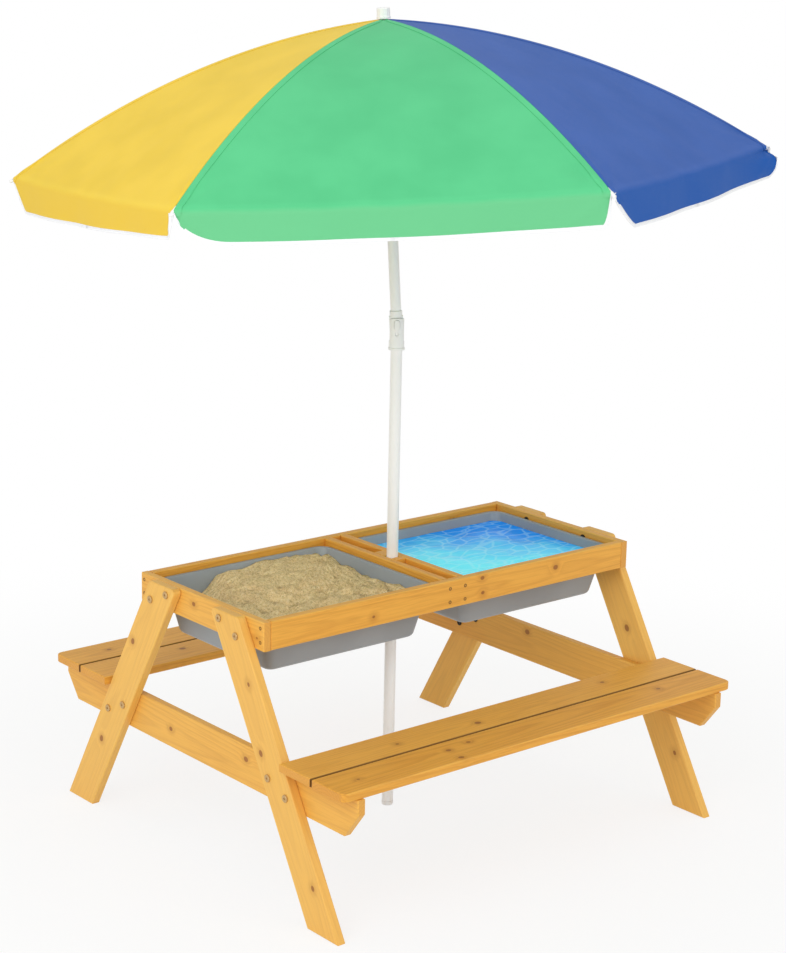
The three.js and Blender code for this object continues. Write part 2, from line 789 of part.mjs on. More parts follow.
// Stretcher along +X from its inner eye, with its fork around the lug
function stretcherBar() {
  const root = stretcherLong - forkRoot;
  const eye = [];
  for (let k = 0; k <= 8; k += 1) {
    const angle = Math.PI / 4 + (Math.PI * 3 * k) / 16;
    eye.push(new THREE.Vector2(stretcherEye * Math.cos(angle), stretcherEye * Math.sin(angle)));
  }
  const bar = [
    ...eye, new THREE.Vector2(root, -stretcherHigh / 2), new THREE.Vector2(root, stretcherHigh / 2),
  ];
  const forkWide = 2 * (ribSlot + forkCheek);
  const fork = [new THREE.Vector2(root - forkSize, forkSize), new THREE.Vector2(root - 2 * forkSize, 0)];
  fork.push(new THREE.Vector2(root - forkSize, -forkSize));
  for (let k = 0; k <= 8; k += 1) {
    const angle = -Math.PI / 2 + (Math.PI * k) / 8;
    fork.push(new THREE.Vector2(stretcherLong + forkSize * Math.cos(angle), forkSize * Math.sin(angle)));
  }
  const body = join(
    alongY(slab(bar, stretcherWide), 0, stretcherWide),
    alongY(slab(fork, forkWide), 0, forkWide),
  );
  const slotted = cut(body, box(
    root, stretcherLong + forkSize + overrun, -ribSlot, ribSlot, -forkSize - overrun, forkSize + overrun,
  ));
  const pinReach = ribSlot + forkCheek / 2;
  return slotted.add(toSolid(layAlongY(rod(hingePin, -pinReach, pinReach, 12), stretcherLong, 0)));
}
const stretcher = fromSolid(stretcherBar()).rotateY(-stretcherRise)
  .translate(hingeRadius, 0, runnerHeight);

for (let k = 0; k < GORES; k += 1) {
  addPiece(`rib_${k + 1}`, rib.clone().rotateZ(k * 60 * RAD), WHITE, head);
  addPiece(`stretcher_${k + 1}`, stretcher.clone().rotateZ(k * 60 * RAD), WHITE, head);
}

// Runner: slots without pins, because the stretchers leave it between open and closed
addPiece('runner', fromSolid(slottedRing(
  upperPoleRadius + tubePlay, crownHub, runnerHeight - runnerFlange / 2, runnerHeight + runnerFlange / 2,
  runnerHeight - runnerDown, runnerHeight + runnerUp,
  [[crownHub, runnerHeight + runnerFlange / 2], [crownHub, runnerHeight + runnerUp]],
)), WHITE, head);

// Depth of the valance at a place along the rim: less towards its back end, cut back in a curve at both ends
function valanceDepth(along) {
  const front = Math.min(1, (canopyRadius / 2 + along) / frontCut);
  const back = Math.min(1, (canopyRadius / 2 - along) / backCut);
  const share = Math.sin((Math.PI / 2) * front) * Math.sin((Math.PI / 2) * back);
  const taper = valanceTaper * (along / canopyRadius + 1 / 2);
  return valanceStub + (valanceDrop - taper - valanceStub) * share;
}

// Middle surface of one gore, its first rib at azimuth 0, and its valance
function gorePoint(row, column, rows, drops, columns) {
  const across = Math.sin(Math.PI * (column / columns - 1 / 2));
  const share = Math.min(1, row / rows);
  const radius = clothRow(share);
  const half = radius / 2 - seamWidth(radius);
  const bow = (1 - across ** 2) * Math.sin((Math.PI * share) / 2);
  const fall = Math.max(0, row - rows) / drops;
  const depth = valanceDepth((across * canopyRadius) / 2) * fall;
  const wave = hemWave * fall * (1 + Math.sin(across * 9)) * (1 - across ** 2);
  const point = new THREE.Vector3(
    radius * Math.cos(30 * RAD) + wave, across * half, ribLine(radius) - goreSag * bow - depth,
  );
  return point.applyAxisAngle(new THREE.Vector3(0, 0, 1), 30 * RAD);
}

// Cloth sheet: the middle surface moved half its thickness to both sides, closed at its edges
function gore(rows, drops, columns) {
  const total = rows + drops;
  const at = (row, column) => gorePoint(row, column, rows, drops, columns);
  const points = [];
  for (const side of [1, -1]) {
    for (let row = 0; row <= total; row += 1) {
      for (let column = 0; column <= columns; column += 1) {
        const along = at(Math.min(row + 1, total), column).sub(at(Math.max(row - 1, 0), column));
        const across = at(row, Math.min(column + 1, columns)).sub(at(row, Math.max(column - 1, 0)));
        const normal = along.cross(across).normalize();
        points.push(at(row, column).addScaledVector(normal, (side * clothThick) / 2));
      }
    }
  }
  const width = columns + 1;
  const layer = (total + 1) * width;
  const faces = [];
  const quad = (a, b, c, d) => faces.push(a, b, c, a, c, d);
  for (let row = 0; row < total; row += 1) {
    for (let column = 0; column < columns; column += 1) {
      const a = row * width + column;
      quad(a, a + width, a + width + 1, a + 1);
      quad(layer + a, layer + a + 1, layer + a + width + 1, layer + a + width);
    }
    const first = row * width;
    const last = first + columns;
    quad(first, layer + first, layer + first + width, first + width);
    quad(last, last + width, layer + last + width, layer + last);
  }
  for (let column = 0; column < columns; column += 1) {
    const end = total * width + column;
    quad(column, column + 1, layer + column + 1, layer + column);
    quad(end, layer + end, layer + end + 1, end + 1);
  }
  const geometry = new THREE.BufferGeometry();
  geometry.setAttribute('position', new THREE.Float32BufferAttribute(
    points.flatMap((point) => point.toArray()), 3,
  ));
  geometry.setIndex(faces);
  return geometry;
}

const cloth = gore(CLOTH_ROWS, 3, 16);
const goreFinishes = [['yellow', YELLOW], ['green', GREEN], ['blue', BLUE]];
for (let k = 0; k < GORES; k += 1) {
  const [colour, finish] = goreFinishes[k % 3];
  const name = `canopy_gore_${colour}_${k < 3 ? 'front' : 'back'}`;
  addPiece(name, cloth.clone().rotateZ(k * 60 * RAD), finish, head);
}

// Fluted cap on the cloth, its stem in the crown
const capBottom = canopyApex + clothThick / 2 + seatGap;
function capRing(radius, z, depth) {
  return Array.from({ length: 48 }, (_, k) => {
    const angle = (2 * Math.PI * k) / 48;
    const reach = radius - depth * (1 - Math.cos(12 * angle)) / 2;
    return new THREE.Vector3(reach * Math.cos(angle), reach * Math.sin(angle), z);
  });
}
addPiece('top_cap', skin([
  capRing(capStem, canopyApex - capStemLong, 0),
  capRing(capStem, capBottom, 0),
  capRing(capRadius, capBottom, 0),
  capRing(capRadius, capBottom + capBase, 0),
  capRing(capRadius - flute, capBottom + capBase, flute),
  capRing(capRadius - flute, capBottom + capHigh - capBase / 2, flute),
  capRing(capRadius - 3 * flute, capBottom + capHigh, flute),
]), WHITE, head);

export default part;
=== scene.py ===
import json
import math
from itertools import product

import bmesh
import bpy
import numpy as np
from bpy.props import FloatProperty, FloatVectorProperty, IntProperty, PointerProperty
from bpy.types import Operator, Panel, PropertyGroup
from mathutils import Matrix, Vector

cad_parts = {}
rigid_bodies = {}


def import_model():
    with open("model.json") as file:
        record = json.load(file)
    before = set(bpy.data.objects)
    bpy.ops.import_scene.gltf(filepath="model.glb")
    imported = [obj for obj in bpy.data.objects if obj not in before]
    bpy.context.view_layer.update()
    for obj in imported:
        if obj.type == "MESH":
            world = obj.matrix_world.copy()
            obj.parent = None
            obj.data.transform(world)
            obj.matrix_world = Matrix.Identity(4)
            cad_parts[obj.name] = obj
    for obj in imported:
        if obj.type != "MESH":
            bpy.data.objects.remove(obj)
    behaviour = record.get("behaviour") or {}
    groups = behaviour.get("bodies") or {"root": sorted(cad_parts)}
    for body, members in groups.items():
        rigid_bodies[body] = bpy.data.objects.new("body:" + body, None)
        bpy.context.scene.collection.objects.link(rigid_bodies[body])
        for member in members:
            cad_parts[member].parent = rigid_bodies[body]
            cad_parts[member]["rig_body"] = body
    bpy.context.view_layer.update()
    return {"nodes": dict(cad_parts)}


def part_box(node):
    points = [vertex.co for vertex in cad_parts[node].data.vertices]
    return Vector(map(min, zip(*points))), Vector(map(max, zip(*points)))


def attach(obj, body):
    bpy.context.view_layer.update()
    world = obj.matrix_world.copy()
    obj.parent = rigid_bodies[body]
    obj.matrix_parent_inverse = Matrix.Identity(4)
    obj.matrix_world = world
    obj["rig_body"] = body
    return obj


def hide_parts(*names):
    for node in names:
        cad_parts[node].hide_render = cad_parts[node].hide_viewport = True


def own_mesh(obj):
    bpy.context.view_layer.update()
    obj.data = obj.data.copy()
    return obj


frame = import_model()

bl_info = {
    "name": "Sandbox Picnic Table",
    "version": (1, 0, 0),
    "blender": (4, 5, 0),
    "location": "3D View > Sidebar > Picnic Table",
    "description": "Finishes and fine pieces for a picnic table with a sand bin, a water bin and a parasol",
    "category": "Add Mesh",
}


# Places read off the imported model, in metres

def low(node):
    """Lowest corner of a CAD node as an array."""
    return np.array(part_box(node)[0])


def high(node):
    """Highest corner of a CAD node as an array."""
    return np.array(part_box(node)[1])


FRAME_SIDE = -low("side_board_front")[1]
FRAME_END = -low("end_board_left")[0]
END_INSIDE = -high("end_board_left")[0]
LEG_OUTSIDE = -low("leg_front_left")[0]
ENDS = (("left", -1), ("right", 1))
SIDES = (("front", -1), ("back", 1))
RIBS = 6
GORES = ("yellow_front", "green_front", "blue_front", "yellow_back", "green_back", "blue_back")


def linear(*steps):
    """Colour as a shader takes it, from 0 to 255 steps of a screen colour."""
    share = np.array(steps) / 255
    lit = np.where(share <= 0.04045, share / 12.92, ((share + 0.055) / 1.055) ** 2.4)
    return (*[float(x) for x in lit], 1.0)


def shade(colour, share, lift=0.0):
    """A deeper or paler tone of a colour."""
    return (*[min(1.0, c * share + lift) for c in tuple(colour)[:3]], 1.0)


# Shader maths

class Value:
    """A node's output. A sum written on it adds the Math nodes that work it out."""

    def __init__(self, tree, socket):
        self.tree, self.socket = tree, socket

    def maths(self, operation, *values):
        return self.tree.node("ShaderNodeMath", {"operation": operation}, dict(enumerate(values)))

    def __rsub__(self, other):
        return self.maths("SUBTRACT", other, self)


# part is what is left after the decimal point, least and most are the smaller and the larger of two values
for method, kind in {
    "__add__": "ADD", "__radd__": "ADD", "__sub__": "SUBTRACT", "__mul__": "MULTIPLY", "__rmul__": "MULTIPLY",
    "__truediv__": "DIVIDE", "__abs__": "ABSOLUTE", "root": "SQRT", "exp": "EXPONENT", "part": "FRACT",
    "wave": "SINE", "least": "MINIMUM", "most": "MAXIMUM",
}.items():
    setattr(Value, method, lambda self, *others, kind=kind: self.maths(kind, self, *others))


class Nodes:
    """The node tree of a material or a world, filled through one method."""

    def __init__(self, owner):
        owner.use_nodes = True
        self.nodes, self.links = owner.node_tree.nodes, owner.node_tree.links

    def node(self, kind, settings=None, values=None, output=0):
        """Adds a node: first its settings, then the values or links of its sockets."""
        made = self.nodes.new(kind)
        for key, setting in (settings or {}).items():
            setattr(made, key, setting)
        self.fill(made, values or {})
        return Value(self, made.outputs[output])

    def fill(self, node, values):
        """Links or sets a node's sockets."""
        for key, value in values.items():
            if isinstance(value, Value):
                self.links.new(value.socket, node.inputs[key])
            else:
                node.inputs[key].default_value = value

    def seen(self, *kinds):
        """1 for a ray of one of these kinds, otherwise 0."""
        outputs = self.node("ShaderNodeLightPath").socket.node.outputs
        first, *others = [Value(self, outputs[f"Is {kind} Ray"]) for kind in kinds]
        for other in others:
            first = first.most(other)
        return first


class Finish(Nodes):
    """A material for one kind of surface."""

    def __init__(self, name, **sockets):
        self.material = bpy.data.materials.new(name)
        super().__init__(self.material)
        self.shader = self.nodes["Principled BSDF"]
        self.set(**sockets)

    def set(self, **sockets):
        """Sets the shader's own sockets; an underscore stands for a space."""
        self.fill(self.shader, {key.replace("_", " "): value for key, value in sockets.items()})

    def place(self):
        return self.node("ShaderNodeTexCoord", output="Object")

    def ways(self):
        """The two lengths over a surface that its mesh carries."""
        return self.node("ShaderNodeUVMap", {"uv_map": "Surface"})

    def vectors(self, operation, *values, output=0):
        return self.node("ShaderNodeVectorMath", {"operation": operation}, dict(enumerate(values)), output)

    def dot(self, vector, axis):
        return self.vectors("DOT_PRODUCT", vector, axis, output="Value")

    def stretched(self, vector, scale):
        return self.vectors("MULTIPLY", vector, scale)

    def vector(self, x, y, z):
        return self.node("ShaderNodeCombineXYZ", None, {0: x, 1: y, 2: z})

    def noise(self, vector, scale, detail=2.0, roughness=0.5):
        """Noise. Three scales stretch it along the axes."""
        if isinstance(scale, tuple):
            vector, scale = self.stretched(vector, scale), 1.0
        values = {"Vector": vector, "Scale": scale, "Detail": detail, "Roughness": roughness}
        return self.node("ShaderNodeTexNoise", None, values)

    def cells(self, vector, scale, feature="F1"):
        values = {"Vector": vector, "Scale": scale}
        return self.node("ShaderNodeTexVoronoi", {"feature": feature}, values, "Distance")

    def ramp(self, value, *stops):
        """Grey between stops, which are (value, grey) pairs."""
        made = self.node("ShaderNodeValToRGB", None, {0: value})
        elements = made.socket.node.color_ramp.elements
        while len(elements) < len(stops):
            elements.new(0.5)
        for element, (place, grey) in zip(elements, stops):
            element.position = place
            element.color = (grey, grey, grey, 1)
        return made

    def step(self, value, start, end):
        """0 before start, 1 after end, and a smooth rise between them."""
        settings = {"interpolation_type": "SMOOTHSTEP"}
        return self.node("ShaderNodeMapRange", settings, {"Value": value, "From Min": start, "From Max": end})

    def coats(self, base, *coats):
        """A base colour under coats, which are (share, colour) pairs."""
        for share, tint in coats:
            base = self.node("ShaderNodeMix", {"data_type": "RGBA"}, {0: share, 6: base, 7: tint}, 2)
        return base

    def relief(self, height, depth, strength):
        """Raises and lowers the surface by up to depth, in metres."""
        values = {"Strength": strength, "Distance": depth, "Height": height}
        self.set(Normal=self.node("ShaderNodeBump", None, values))


# Mesh making

def volume(points, faces):
    """Sum of the tetrahedra from the origin to a fan of triangles on each face."""
    total = 0.0
    for face in faces:
        for k in range(1, face.shape[1] - 1):
            a, b, c = points[face[:, 0]], points[face[:, k]], points[face[:, k + 1]]
            total += np.einsum("ij,ij->i", a, np.cross(b, c)).sum() / 6
    return total


def solid(name, points, faces, finish, flat=(), uv=None, sharp=None):
    """A mesh object from points and arrays of faces, turned to face outwards.

    flat lists the arrays shaded flat, and edges sharper than sharp, in degrees, are shaded so.
    """
    points = np.asarray(points, float).reshape(-1, 3)
    if volume(points - points.mean(0), faces) < 0:
        faces = [face[:, ::-1] for face in faces]
    mesh = bpy.data.meshes.new(name)
    mesh.from_pydata(points, [], [face for array in faces for face in array.tolist()])
    smooth = np.concatenate([np.full(len(array), k not in flat) for k, array in enumerate(faces)])
    mesh.polygons.foreach_set("use_smooth", smooth)
    if uv is not None:
        corners = np.empty(len(mesh.loops), np.int32)
        mesh.loops.foreach_get("vertex_index", corners)
        layer = mesh.uv_layers.new(name="Surface")
        layer.data.foreach_set("uv", np.asarray(uv, np.float32)[corners].ravel())
    mesh.materials.append(finish.material)
    mesh.update()
    if sharp is not None:
        mesh.set_sharp_from_angle(angle=math.radians(sharp))
    made = bpy.data.objects.new(name, mesh)
    bpy.context.scene.collection.objects.link(made)
    return made


def grid_faces(rows, columns, closed):
    """Quads between neighbouring rows of a grid of points; closed joins the last column to the first."""
    row = np.arange(rows - 1)[:, None] * columns
    column = np.arange(columns if closed else columns - 1)[None, :]
    after = (column + 1) % columns
    quads = np.stack([row + column, row + after, row + columns + after, row + columns + column], -1)
    return quads.reshape(-1, 4)


def fan(centre, ring):
    """Triangles from a centre point to each side of a ring of points."""
    return np.stack([np.full(len(ring), centre), np.roll(ring, -1), ring], -1)


def lofted(rings):
    """Rings of points joined to a closed skin, with a centre point at both ends. Returns points and faces."""
    rings = np.asarray(rings, float)
    rows, columns = rings.shape[:2]
    points = np.vstack([rings.reshape(-1, 3), rings[0].mean(0), rings[-1].mean(0)])
    last = rows * columns
    ring = np.arange(columns)
    ends = np.vstack([fan(last, ring), fan(last + 1, (last - columns + ring)[::-1])])
    return points, [grid_faces(rows, columns, True), ends]


def joined(shapes):
    """Several (points, faces) shapes as one."""
    points, faces, start = [], {}, 0
    for shape_points, shape_faces in shapes:
        points.append(shape_points)
        for face in shape_faces:
            faces.setdefault(face.shape[1], []).append(face + start)
        start += len(shape_points)
    return np.vstack(points), [np.vstack(same) for same in faces.values()]


def round_angles(sides):
    """Angles of the points of a full turn."""
    return np.linspace(0, 2 * np.pi, sides, endpoint=False)


def turned(rows, sides):
    """Rings about Z from (radius, height) rows. A radius may be an array with a value for each side."""
    angle = round_angles(sides)
    return np.array([np.stack([r * np.cos(angle), r * np.sin(angle), z + 0 * angle], -1) for r, z in rows])


def arc(radius, start, end, steps):
    """Points on an arc about the origin of a profile, angles in degrees."""
    angle = np.radians(np.linspace(start, end, steps + 1))
    return [(radius * math.cos(a), radius * math.sin(a)) for a in angle]


def rounded(half_x, half_y, radius):
    """Rectangle with arcs for corners and straight runs of points between them, counter-clockwise."""
    angle = np.linspace(0, np.pi / 2, 11)
    quarter = radius * np.stack([np.cos(angle), np.sin(angle)], -1)
    corners = []
    for sx, sy, cos, sin in ((1, 1, 1, 0), (-1, 1, 0, 1), (-1, -1, -1, 0), (1, -1, 0, -1)):
        corner = quarter @ np.array([[cos, sin], [-sin, cos]])
        corners.append(corner + [sx * (half_x - radius), sy * (half_y - radius)])
    share = np.linspace(0, 1, 14, endpoint=False)[1:, None]
    pairs = zip(corners, corners[1:] + corners[:1])
    return np.vstack([np.vstack([one, one[-1] + share * (after[0] - one[-1])]) for one, after in pairs])


def pointed(shape, place, way, spin=0.0):
    """A shape along Z, spun about it, laid along a direction at a place."""
    points, faces = shape
    cos, sin = math.cos(spin), math.sin(spin)
    points = points @ np.array([[cos, sin, 0], [-sin, cos, 0], [0, 0, 1]])
    turn = np.array(Vector(way).to_track_quat("Z", "Y").to_matrix())
    return points @ turn.T + place, faces


def softened(node, finish, width=0.0006):
    """A copy of a CAD node with its points merged, its edges eased and its round faces shaded smooth."""
    round_edge = math.radians(32)
    copy = bpy.data.objects.new(node + "_soft", frame["nodes"][node].data.copy())
    bpy.context.scene.collection.objects.link(copy)
    work = bmesh.new()
    work.from_mesh(copy.data)
    bmesh.ops.remove_doubles(work, verts=work.verts, dist=1e-6)
    bmesh.ops.dissolve_limit(work, angle_limit=math.radians(1), verts=work.verts, edges=work.edges)
    for face in work.faces:
        face.smooth = True
    for edge in work.edges:
        edge.smooth = len(edge.link_faces) != 2 or edge.calc_face_angle() < round_edge
    work.to_mesh(copy.data)
    work.free()
    bevel = copy.modifiers.new("Eased edges", "BEVEL")
    bevel.width = width
    bevel.segments = 2
    bevel.limit_method = "ANGLE"
    bevel.angle_limit = round_edge
    bevel.harden_normals = True
    dress(copy, finish)
    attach(copy, frame["nodes"][node]["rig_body"])
    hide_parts(node)
    return copy


def dress(piece, finish):
    """Gives an object its finish."""
    piece.data.materials.clear()
    piece.data.materials.append(finish.material)


# The parasol's head is drawn upright, then leaned about the tilt pin and turned about the pole

TURN = math.radians(140.8)
LEAN = math.radians(3.5)
PIVOT = Vector((0.0, 0.0, 0.941))
LEANED = Matrix.Translation(PIVOT) @ Matrix.Rotation(LEAN, 4, "Y") @ Matrix.Translation(PIVOT).inverted()
HEAD = np.array(Matrix.Rotation(TURN, 4, "Z") @ LEANED)


def stood(points, azimuth=0.0):
    """Points of the upright, unturned head, first turned by azimuth, as they stand on the table."""
    cos, sin = math.cos(azimuth), math.sin(azimuth)
    turn = np.array([[cos, -sin, 0], [sin, cos, 0], [0, 0, 1]])
    flat = np.asarray(points, float) @ turn.T
    return flat @ HEAD[:3, :3].T + HEAD[:3, 3]


# Sizes and colours that a user would change

def colour(name, what, *steps):
    """A colour, from 0 to 255 steps of a screen colour."""
    words = {"name": name, "description": "Colour of " + what}
    return FloatVectorProperty(**words, subtype="COLOR", size=4, default=linear(*steps))


def amount(name, what, default, least=0.0, subtype="DISTANCE"):
    """A number, in metres unless its subtype is another."""
    return FloatProperty(name=name, description=what, subtype=subtype, default=default, min=least)


class WoodProps(PropertyGroup):
    lit: colour("Spring wood", "the pale part of each year ring", 238, 170, 60)
    dark: colour("Summer wood", "the dark line of each year ring", 202, 128, 32)
    knot: colour("Knots", "the knots", 138, 80, 34)
    ring: amount("Ring width", "Width of one year ring", 0.0058, 0.001)


class BinProps(PropertyGroup):
    plastic: colour("Plastic", "the bins", 156, 163, 168)
    sand: colour("Sand", "dry sand", 240, 213, 158)
    # Colour of the hollows: dampness and painted shade
    damp: colour("Damp sand", "the sand's hollows", 150, 118, 78)
    # The water's two colours are painted reflection: pale cyan at the front, deep blue at the back
    water: colour("Water", "the water near the front", 104, 236, 255)
    deep: colour("Deep water", "the water near the back", 4, 136, 240)
    lump: amount("Sand lumps", "Height of the lumps in the sand", 0.0044)


class ParasolProps(PropertyGroup):
    yellow: colour("Yellow cloth", "the yellow gores", 238, 203, 62)
    green: colour("Green cloth", "the green gores", 86, 198, 134)
    blue: colour("Blue cloth", "the blue gores", 46, 92, 172)
    hem: colour("Hem tape", "the tape round the valance", 247, 248, 250)
    white: colour("White parts", "the pole and fittings", 249, 249, 247)
    thickness: amount("Cloth thickness", "Thickness of the cloth", 0.0007, 0.0003)
    hem_width: amount("Hem width", "Width of the hem tape", 0.005, 0.002)
    strips: IntProperty(name="Columns", description="Columns of faces across half a gore", default=36, min=8)


class StageProps(PropertyGroup):
    floor: FloatVectorProperty(
        name="Floor", description="Colour of the floor", subtype="COLOR", size=4,
        default=(0.93, 0.93, 0.925, 1.0),
    )
    key: amount("Key light", "Power of the large soft lamp", 53.0, subtype="POWER")
    fill: amount("Room light", "Strength of the light from all round", 0.72, subtype="NONE")


# Finishes

def wood(name, along, face, centre, half, seed, knots, paler, gap_shade_side):
    """Sawn softwood: year rings round a pith outside the board, cut by its faces, with fibres and knots.

    along is the grain, face the broad side's normal, half the half sizes along grain, width and thickness.
    knots are places on the broad side and a radius. The argument before the last is the share of a paler
    tone, painted light for the boards that face the key lamp. The last is the direction of the side that
    faces the next plank, darkened with painted shade in the narrow gaps between planks.
    """
    props = bpy.context.scene.table_wood
    rng = np.random.default_rng(seed)
    along = along / np.linalg.norm(along)
    side = np.cross(face, along)
    finish = Finish(name, Specular_IOR_Level=0.3, Coat_Roughness=0.4, Coat_Weight=0.05)
    place = finish.place()
    u, v, w = [finish.dot(place, way) - float(way @ centre) for way in (along, side, face)]
    shift = rng.uniform(-3, 3, 3)
    board = finish.vector(*[at + float(more) for at, more in zip((u, v, w), shift)])
    bend = finish.noise(board, (1.4, 5.0, 5.0)) - 0.5
    warp = finish.noise(board, (6.0, 30.0, 30.0)) - 0.5
    pith_v = float(rng.uniform(-0.35, 0.35) * half[1])
    pith_w = float(half[2] + rng.uniform(0.012, 0.03)) * float(rng.choice([-1, 1]))
    taper = float(rng.uniform(0.012, 0.03) * rng.choice([-1, 1]))
    across = v - pith_v + bend * 0.022
    deep = w - pith_w + warp * 0.006
    radius = (across * across + deep * deep).root() + u * taper
    knot_mask, knot_ring = None, None
    for first, second, size in knots:
        point = np.insert((first, second), abs(face).argmax(), 0.0) - centre
        du, dv = (u - float(along @ point)) * 0.78, v - float(side @ point)
        near = (du * du + dv * dv).root()
        bulge = (near * near * (-1 / (2.1 * size) ** 2)).exp()
        radius = radius + bulge * (size * 1.5)
        ragged = near + warp * (size * 0.5)
        mask = 1 - finish.step(ragged, size * 0.72, size * 1.05)
        knot_mask = mask if knot_mask is None else knot_mask.most(mask)
        knot_ring = ragged if knot_ring is None else knot_ring.least(ragged)
    turn = (radius / props.ring + bend * 1.5).part()
    late = finish.ramp(turn, (0.0, 0.1), (0.45, 0.22), (0.86, 1), (1.0, 0.12))
    fibre = finish.noise(board, (14.0, 420.0, 420.0), 3.0, 0.6)
    patch = finish.noise(board, (3.0, 14.0, 14.0))
    tone = float(rng.uniform(-1, 1))
    coats = [
        (late * (0.35 + patch * 0.5), tuple(props.dark)),
        (0.28 * abs(tone), linear(212, 138, 46) if tone > 0 else linear(242, 184, 84)),
        (finish.step(fibre, 0.42, 0.7) * 0.35, linear(188, 114, 30)),
        (finish.step(patch, 0.45, 0.75) * 0.3, linear(244, 184, 76)),
        # painted light: a paler tone on the boards that face the key lamp
        (paler, linear(250, 208, 116)),
    ]
    if knots:
        rings = (knot_ring * (1 / 0.0014)).part() * 0.5
        halo = 1 - finish.step(knot_ring, 0.004, 0.016)
        coats.append((halo * 0.3, linear(178, 112, 44)))
        coats.append((knot_mask * 0.85, finish.coats(tuple(props.knot), (rings, linear(184, 118, 54)))))
    facing = abs(finish.dot(finish.node("ShaderNodeTexCoord", output="Normal"), along))
    edge = abs(v) * -1 + float(half[1]) + (abs(w) * -1 + float(half[2]))
    worn = 1 - finish.step(edge + fibre * 0.0012, 0.0012, 0.0036)
    coats.append((finish.step(facing, 0.8, 0.95) * 0.35, linear(206, 140, 66)))
    coats.append((worn * 0.35, linear(248, 200, 104)))
    # Painted shade in the narrow gaps between bench planks, on the side that faces the next plank
    if gap_shade_side is not None:
        beyond = finish.dot(place, gap_shade_side) - float(gap_shade_side @ centre)
        gap_shade = finish.step(beyond, float(half[1]) - 0.002, float(half[1]) - 0.0006)
        coats.append((gap_shade * 0.85, linear(96, 56, 22)))
    tint = finish.coats(tuple(props.lit), *coats)
    finish.set(Base_Color=tint, Roughness=0.4 + fibre * 0.16)
    finish.relief(late * 0.5 + fibre * 0.6, 0.0003, 0.5)
    return finish


def moulded_plastic(name, tint, roughness=0.42, scuffs=0.15):
    """Injection-moulded plastic: fine grain in the mould's face and faint scuffs."""
    finish = Finish(name, Specular_IOR_Level=0.45)
    place = finish.place()
    scuff = finish.step(finish.noise(place, (60.0, 60.0, 700.0), 3.0), 0.6, 0.75)
    cloud = finish.step(finish.noise(place, 9.0, 3.0), 0.3, 0.7)
    base = finish.coats(shade(tint, 0.9), (cloud, tuple(tint)), (scuff * scuffs, shade(tint, 1.16, 0.01)))
    finish.set(Base_Color=base, Roughness=roughness + scuff * 0.12)
    finish.relief(finish.noise(place, 1500.0) + finish.noise(place, 220.0) * 0.6, 0.00012, 0.35)
    return finish


def painted_metal(name, tint):
    """Powder-coated metal: a faint orange-peel skin and small patches dulled by rubbing."""
    finish = Finish(name, Specular_IOR_Level=0.5, Coat_Roughness=0.2, Coat_Weight=0.2)
    place = finish.place()
    rub = finish.step(finish.noise(place, (90.0, 90.0, 12.0), 3.0), 0.62, 0.8)
    base = finish.coats(tuple(tint), (rub * 0.5, shade(tint, 0.86)))
    finish.set(Base_Color=base, Roughness=0.3 + rub * 0.15)
    finish.relief(finish.noise(place, 420.0), 0.00012, 0.3)
    return finish


def plated_steel(name, dull, bright):
    """Steel with a zinc coat, or coloured very dark as painted shade: a dull mottle between two colours and a
    faint grain.
    """
    finish = Finish(name, Metallic=0.7)
    place = finish.place()
    mottle = finish.noise(place, 260.0, 3.0)
    finish.set(Base_Color=finish.coats(dull, (mottle, bright)), Roughness=0.42 + mottle * 0.2)
    finish.relief(finish.noise(place, 2200.0), 0.00008, 0.4)
    return finish


def loose_sand(name):
    """Dry sand: grains of several colours in soft patches, darker in the hollows that the mesh marks, for
    dampness and painted shade, with painted shade on low crumbs and painted highlight on high ones.
    """
    props = bpy.context.scene.table_bins
    finish = Finish(name, Specular_IOR_Level=0.15)
    place = finish.place()
    hollow = finish.dot(finish.ways(), (1, 0, 0))
    speck = finish.noise(place, 480.0, 3.0, 0.75)
    shaded_crumb = finish.noise(place, 190.0, 2.0, 0.6)
    patch = finish.noise(place, 34.0, 4.0, 0.6)
    tint = finish.coats(
        tuple(props.sand),
        (finish.step(patch, 0.3, 0.7) * 0.5, linear(224, 190, 134)),
        # darker in hollows: dampness and painted shade
        (finish.step(hollow + (patch - 0.5) * 0.7, 0.25, 1.0) * 0.75, tuple(props.damp)),
        (finish.step(speck, 0.54, 0.66) * 0.6, linear(252, 238, 208)),
        ((1 - finish.step(speck, 0.34, 0.46)) * 0.6, linear(134, 98, 58)),
        # painted shade on low crumbs and painted highlight on high ones, where the relief sinks and rises
        ((1 - finish.step(shaded_crumb, 0.36, 0.46)) * 0.36, linear(150, 116, 74)),
        (finish.step(shaded_crumb, 0.56, 0.66) * 0.36, linear(255, 238, 200)),
    )
    finish.set(Base_Color=tint, Roughness=0.92)
    grain = finish.cells(place, 420.0) * 0.5 + speck * 0.8 + patch * 1.5 + shaded_crumb * 0.9
    finish.relief(grain, 0.002, 0.9)
    return finish


